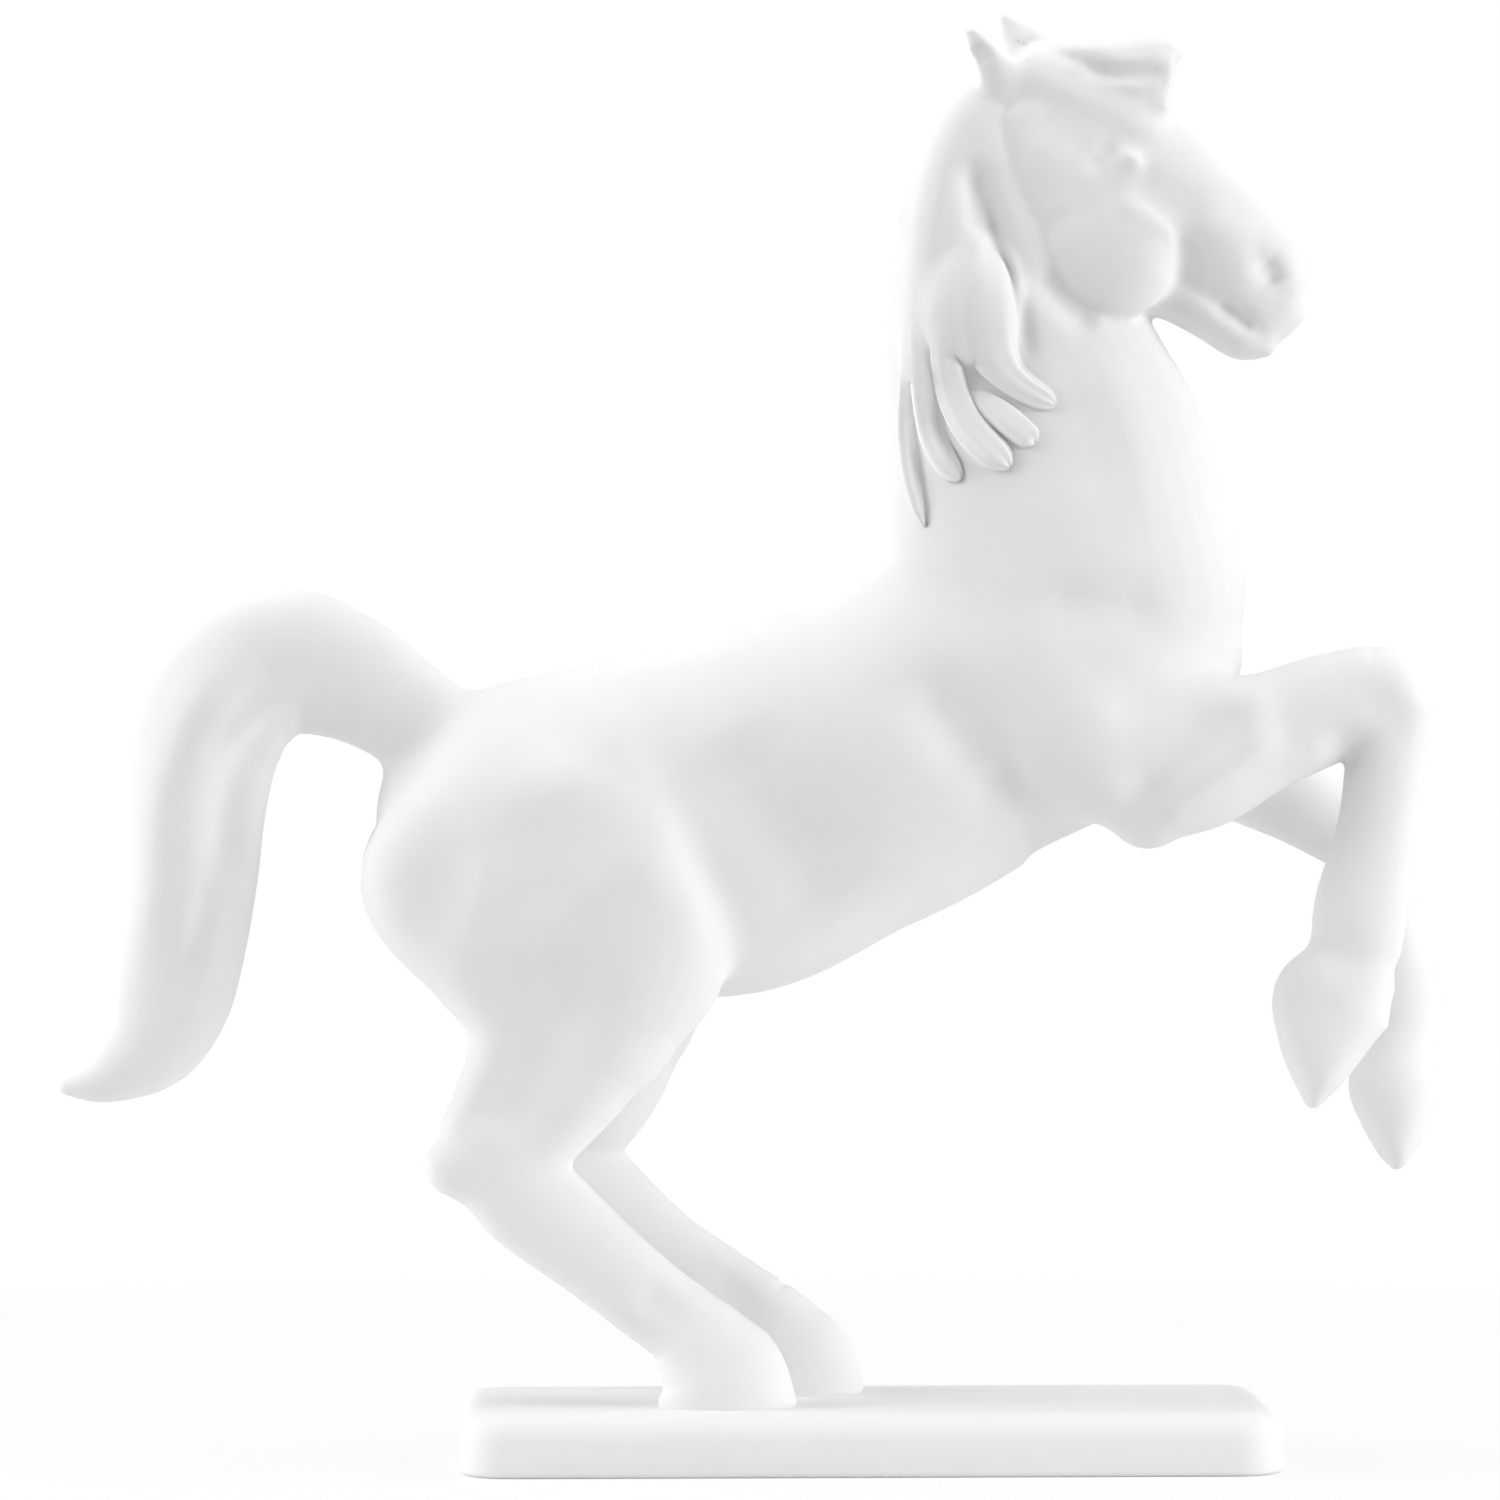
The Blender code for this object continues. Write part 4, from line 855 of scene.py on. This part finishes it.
def lock_tree():
    """Sweeps a flattened oval along a curve and draws strands along it."""
    tree = bpy.data.node_groups.new("hair_lock", "GeometryNodeTree")
    face = tree.interface
    face.new_socket("Path", in_out="INPUT", socket_type="NodeSocketGeometry")
    for name, kind in (
            ("Sides", "Int"), ("Steps", "Int"), ("Flatness", "Float"), ("Strands", "Int"),
            ("Strand depth", "Float"), ("Tip", "Float"), ("Porcelain", "Material")):
        face.new_socket(name, in_out="INPUT", socket_type="NodeSocket" + kind)
    face.new_socket("Lock", in_out="OUTPUT", socket_type="NodeSocketGeometry")

    def node(kind, **settings):
        made = tree.nodes.new(kind)
        for key, value in settings.items():
            setattr(made, key, value)
        return made

    def link(source, target):
        tree.links.new(source, target)

    given = node("NodeGroupInput")
    spline = node("GeometryNodeCurveSplineType", spline_type="CATMULL_ROM")
    link(given.outputs["Path"], spline.inputs["Curve"])
    even = node("GeometryNodeResampleCurve")
    link(spline.outputs["Curve"], even.inputs["Curve"])
    link(given.outputs["Steps"], even.inputs["Count"])
    # the line and its widths are evened out, so that no bend shows a corner
    calm = node("GeometryNodeBlurAttribute", data_type="FLOAT_VECTOR")
    calm.inputs["Iterations"].default_value = LOCK_CALM
    link(node("GeometryNodeInputPosition").outputs[0], calm.inputs["Value"])
    drawn = node("GeometryNodeSetPosition")
    link(even.outputs["Curve"], drawn.inputs["Geometry"])
    link(calm.outputs["Value"], drawn.inputs["Position"])
    swell = node("GeometryNodeBlurAttribute", data_type="FLOAT")
    swell.inputs["Iterations"].default_value = LOCK_CALM
    link(node("GeometryNodeInputRadius").outputs[0], swell.inputs["Value"])
    middle = node("GeometryNodeCaptureAttribute")
    middle.capture_items.new("VECTOR", "Middle")
    middle.capture_items.new("FLOAT", "Along")
    link(drawn.outputs["Geometry"], middle.inputs["Geometry"])
    link(node("GeometryNodeInputPosition").outputs[0], middle.inputs["Middle"])
    link(node("GeometryNodeSplineParameter").outputs["Factor"], middle.inputs["Along"])
    oval = node("GeometryNodeCurvePrimitiveCircle")
    oval.inputs["Radius"].default_value = 1.0
    link(given.outputs["Sides"], oval.inputs["Resolution"])
    around = node("GeometryNodeCaptureAttribute")
    around.capture_items.new("FLOAT", "Around")
    link(oval.outputs["Curve"], around.inputs["Geometry"])
    link(node("GeometryNodeSplineParameter").outputs["Factor"], around.inputs["Around"])
    sweep = node("GeometryNodeCurveToMesh")
    sweep.inputs["Fill Caps"].default_value = True
    link(middle.outputs["Geometry"], sweep.inputs["Curve"])
    link(around.outputs["Geometry"], sweep.inputs["Profile Curve"])
    # the last stretch of the lock closes to a round tip
    end = node("ShaderNodeMapRange")
    link(middle.outputs["Along"], end.inputs["Value"])
    link(maths(tree, "SUBTRACT", 1.0, given.outputs["Tip"]), end.inputs["From Min"])
    end.inputs["To Max"].default_value = TIP_CLOSED
    squared = maths(tree, "POWER", end.outputs["Result"], 2.0)
    close = maths(tree, "SQRT", maths(tree, "SUBTRACT", 1.0, squared))
    link(maths(tree, "MULTIPLY", swell.outputs["Value"], close), sweep.inputs["Scale"])
    # strands: waves around the oval that fade out at the root
    turn = maths(tree, "MULTIPLY", around.outputs["Around"], 2 * math.pi)
    turns = maths(tree, "MULTIPLY", turn, given.outputs["Strands"])
    wave = maths(tree, "COSINE", maths(tree, "MULTIPLY", turns, 2.0))
    deep = maths(tree, "MULTIPLY", wave, given.outputs["Strand depth"])
    deep = maths(tree, "MULTIPLY", deep, middle.outputs["Along"])
    push = node("ShaderNodeVectorMath", operation="SCALE")
    link(node("GeometryNodeInputNormal").outputs[0], push.inputs[0])
    link(deep, push.inputs["Scale"])
    strands = node("GeometryNodeSetPosition")
    link(sweep.outputs["Mesh"], strands.inputs["Geometry"])
    link(push.outputs[0], strands.inputs["Offset"])
    # flattened against the neck about the middle of the lock
    place = node("ShaderNodeSeparateXYZ")
    link(node("GeometryNodeInputPosition").outputs[0], place.inputs[0])
    centre = node("ShaderNodeSeparateXYZ")
    link(middle.outputs["Middle"], centre.inputs[0])
    off = maths(tree, "SUBTRACT", place.outputs["Y"], centre.outputs["Y"])
    off = maths(tree, "MULTIPLY", off, given.outputs["Flatness"])
    flat = node("ShaderNodeCombineXYZ")
    link(place.outputs["X"], flat.inputs["X"])
    link(maths(tree, "ADD", centre.outputs["Y"], off), flat.inputs["Y"])
    link(place.outputs["Z"], flat.inputs["Z"])
    laid = node("GeometryNodeSetPosition")
    link(strands.outputs["Geometry"], laid.inputs["Geometry"])
    link(flat.outputs[0], laid.inputs["Position"])
    smooth = node("GeometryNodeSetShadeSmooth")
    link(laid.outputs["Geometry"], smooth.inputs["Geometry"])
    real = node("GeometryNodeRealizeInstances")
    link(smooth.outputs["Geometry"], real.inputs["Geometry"])
    glaze = node("GeometryNodeSetMaterial")
    link(real.outputs["Geometry"], glaze.inputs["Geometry"])
    link(given.outputs["Porcelain"], glaze.inputs["Material"])
    result = node("NodeGroupOutput")
    link(glaze.outputs["Geometry"], result.inputs["Lock"])
    return tree


def lock_path(name, stations, surface):
    """The lock's middle line laid on the near side of the neck, with its half widths."""
    line = bpy.data.curves.new(name, "CURVE")
    line.dimensions = "3D"
    spline = line.splines.new("POLY")
    spline.points.add(len(stations) - 1)
    for point, (x, z, half, off) in zip(spline.points, stations):
        start = Vector((MM * x, BESIDE_NECK, MM * z + GROUND))
        hit = surface.ray_cast(start, Vector((0, 1, 0)))[0]
        point.co = (hit.x, hit.y - MM * off, hit.z, 1.0)
        point.radius = MM * half
    return placed(name, line)


def mesh_of(obj, tree, values):
    """The mesh that a node tree makes of an object, with its inputs set by name."""
    maker = obj.modifiers.new("maker", "NODES")
    maker.node_group = tree
    for item in tree.interface.items_tree:
        if item.item_type == "SOCKET" and item.in_out == "INPUT" and item.name in values:
            maker[item.identifier] = values[item.name]
    obj.update_tag()
    return result_of(obj)


def run_into(lock, skin, surface):
    """Lets the shading of a lock run into the skin that it is luted to, as in a wiped joint."""
    points = points_of(lock)
    facing = normals_of(lock)
    around = normals_of(skin)
    for i, point in enumerate(points):
        foot, _, face, _ = surface.find_nearest(Vector(point))
        ground = around[list(skin.polygons[face].vertices)].mean(0)
        share = ramp(np.dot(point - np.array(foot), ground), 0.0, LOCK_FILLET)
        facing[i] = share * facing[i] + (1 - share) * ground
    facing /= np.linalg.norm(facing, axis=1)[:, None]
    lock.normals_split_custom_set_from_vertices(facing.tolist())


tree = lock_tree()
skin_faces = [tuple(face.vertices) for face in skin.polygons]
surface = BVHTree.FromPolygons(points_of(skin).tolist(), skin_faces)
for name, (stations, strands) in LOCKS.items():
    path = lock_path(name, stations, surface)
    lock = mesh_of(path, tree, {
        "Sides": LOCK_SIDES, "Steps": LOCK_STEPS, "Flatness": LOCK_FLATNESS, "Strands": strands,
        "Strand depth": STRAND_DEPTH, "Tip": LOCK_TIP, "Porcelain": porcelain})
    run_into(lock, skin, surface)
    porcelain_piece(name + "_biscuit", lock, name)

# Studio: a white sweep under soft boxes above and at both sides, as in a light tent.
# The figure's side that faces the camera gets only the light that the sweep throws back.
SWEEP_WHITE = (0.84, 0.84, 0.84, 1.0)
# dark grey painted on the paper far from the figure: painted shade, not the paper's own colour
SWEEP_PAINTED_SHADE = (0.22, 0.22, 0.22, 1.0)
SWEEP_HALF = 6.0
# the camera sees plain white, with a share of the paper's own shade only near the figure,
# and farther out the paper is painted dark grey, a painted shade that stands for the unlit floor
# outside the tent, so that it throws back less light
PLAIN_NEAR = 0.80
PLAIN_FROM = (0.15, 0.40)
PAINTED_SHADE_FROM = (0.20, 0.55)
TENT_TINT = (0.985, 0.99, 1.0, 1.0)
TENT_EVEN = 0.225
TENT_RIGHT = 0.36
TENT_LEFT = 0.36
TENT_ROOF = 0.28
TENT_FALL = 4.0
TOP_POWER = 2.85
RIGHT_POWER = 8.3
LEFT_POWER = 8.6


def seen_itself(tree):
    """1 where the camera sees a surface itself or in a gloss, 0 where it only gives light."""
    path = tree.nodes.new("ShaderNodeLightPath")
    seen = maths(tree, "MAXIMUM", path.outputs["Is Camera Ray"], path.outputs["Is Glossy Ray"])
    return maths(tree, "MAXIMUM", seen, path.outputs["Is Transmission Ray"])


def sweep_material():
    """White paper that shows white to the camera and still takes the figure's shadow; farther out
    it is painted dark grey as painted shade.
    """
    paper = bpy.data.materials.new("white_sweep")
    paper.use_nodes = True
    tree = paper.node_tree
    nodes = tree.nodes
    links = tree.links
    shader = nodes["Principled BSDF"]
    feed(shader, {"Roughness": 0.9})
    glow = nodes.new("ShaderNodeEmission")
    place = nodes.new("ShaderNodeTexCoord")
    away = nodes.new("ShaderNodeVectorMath")
    away.operation = "LENGTH"
    clear = nodes.new("ShaderNodeMapRange")
    feed(clear, {"To Min": PLAIN_NEAR})
    # painted shade: the paper's colour darkens with distance from the figure, standing for the
    # unlit floor outside the tent
    painted_shade_span = nodes.new("ShaderNodeMapRange")
    for span, (near, far) in ((clear, PLAIN_FROM), (painted_shade_span, PAINTED_SHADE_FROM)):
        feed(span, {"From Min": near, "From Max": far})
        links.new(away.outputs["Value"], span.inputs["Value"])
    paper_with_painted_shade = nodes.new("ShaderNodeMix")
    paper_with_painted_shade.data_type = "RGBA"
    feed(paper_with_painted_shade, {"A": SWEEP_WHITE, "B": SWEEP_PAINTED_SHADE})
    mix = nodes.new("ShaderNodeMixShader")
    share = maths(tree, "MULTIPLY", seen_itself(tree), clear.outputs["Result"])
    links.new(place.outputs["Object"], away.inputs[0])
    links.new(painted_shade_span.outputs["Result"], paper_with_painted_shade.inputs["Factor"])
    links.new(paper_with_painted_shade.outputs["Result"], shader.inputs["Base Color"])
    links.new(share, mix.inputs["Fac"])
    links.new(shader.outputs["BSDF"], mix.inputs[1])
    links.new(glow.outputs["Emission"], mix.inputs[2])
    links.new(mix.outputs["Shader"], nodes["Material Output"].inputs["Surface"])
    return paper


def white_sweep():
    """The paper that the figure stands on."""
    bm = bmesh.new()
    bmesh.ops.create_grid(bm, x_segments=1, y_segments=1, size=SWEEP_HALF)
    mesh = mesh_from(bm, "white_sweep")
    mesh.materials.append(sweep_material())
    sweep = placed("white_sweep", mesh)


white_sweep()


def soft_box(name, place, aim, width, height, power):
    """A lamp behind a cloth of so much width and height."""
    lamp = bpy.data.lights.new(name, "AREA")
    lamp.shape = "RECTANGLE"
    lamp.size = width
    lamp.size_y = height
    lamp.energy = power
    box = placed(name, lamp)
    box.location = place
    box.rotation_euler = (Vector(aim) - Vector(place)).to_track_quat("-Z", "Y").to_euler()


soft_box("top_box", (0.05, 0.10, 0.95), (0.0, 0.0, 0.1), 0.9, 0.7, TOP_POWER)
soft_box("right_box", (0.95, -0.42, 0.46), (0.0, 0.0, 0.12), 0.8, 0.8, RIGHT_POWER)
soft_box("left_box", (-0.95, -0.10, 0.50), (0.0, 0.0, 0.12), 0.8, 0.8, LEFT_POWER)


def light_tent():
    """The tent's cloth: brightest at its sides and roof, darker where the camera looks in."""
    world = bpy.data.worlds.new("light_tent")
    bpy.context.scene.world = world
    world.use_nodes = True
    tree = world.node_tree
    nodes = tree.nodes
    links = tree.links
    place = nodes.new("ShaderNodeTexCoord")
    way = nodes.new("ShaderNodeSeparateXYZ")
    links.new(place.outputs["Generated"], way.inputs[0])
    glow = TENT_EVEN
    walls = (("X", 1.0, TENT_RIGHT), ("X", -1.0, TENT_LEFT), ("Z", 1.0, TENT_ROOF))
    for axis, sign, share in walls:
        facing = maths(tree, "MAXIMUM", maths(tree, "MULTIPLY", way.outputs[axis], sign), 0.0)
        wall = maths(tree, "MULTIPLY", maths(tree, "POWER", facing, TENT_FALL), share)
        glow = maths(tree, "ADD", wall, glow)
    tent = nodes["Background"]
    tent.inputs["Color"].default_value = TENT_TINT
    links.new(glow, tent.inputs["Strength"])
    seen = nodes.new("ShaderNodeBackground")
    seen.inputs["Color"].default_value = (1.0, 1.0, 1.0, 1.0)
    mix = nodes.new("ShaderNodeMixShader")
    links.new(seen_itself(tree), mix.inputs["Fac"])
    links.new(tent.outputs["Background"], mix.inputs[1])
    links.new(seen.outputs["Background"], mix.inputs[2])
    links.new(mix.outputs["Shader"], nodes["World Output"].inputs["Surface"])


light_tent()

# The camera stands where the photo was taken from, a little to the rear and above.
# Its frame is as wide as the photo's, at the distance of the figure.
CAMERA_AIM = Vector((0.0003, 0.0, 0.1189))
CAMERA_DISTANCE = 1.6
CAMERA_AZIMUTH = -2.0
CAMERA_ELEVATION = 1.5
FRAME_WIDTH = 0.25
SENSOR_WIDTH = 36.0
CLIP_NEAR, CLIP_FAR = 0.05, 30.0
turn = math.radians(CAMERA_AZIMUTH)
rise = math.radians(CAMERA_ELEVATION)
back = Vector((math.sin(turn) * math.cos(rise), -math.cos(turn) * math.cos(rise), math.sin(rise)))
lens = bpy.data.cameras.new("camera")
lens.sensor_width = SENSOR_WIDTH
lens.lens = SENSOR_WIDTH * CAMERA_DISTANCE / FRAME_WIDTH
lens.clip_start = CLIP_NEAR
lens.clip_end = CLIP_FAR
camera = placed("camera", lens)
camera.location = CAMERA_AIM + back * CAMERA_DISTANCE
camera.rotation_euler = (-back).to_track_quat("-Z", "Y").to_euler()
bpy.context.scene.camera = camera
bpy.context.scene.view_settings.view_transform = "Standard"
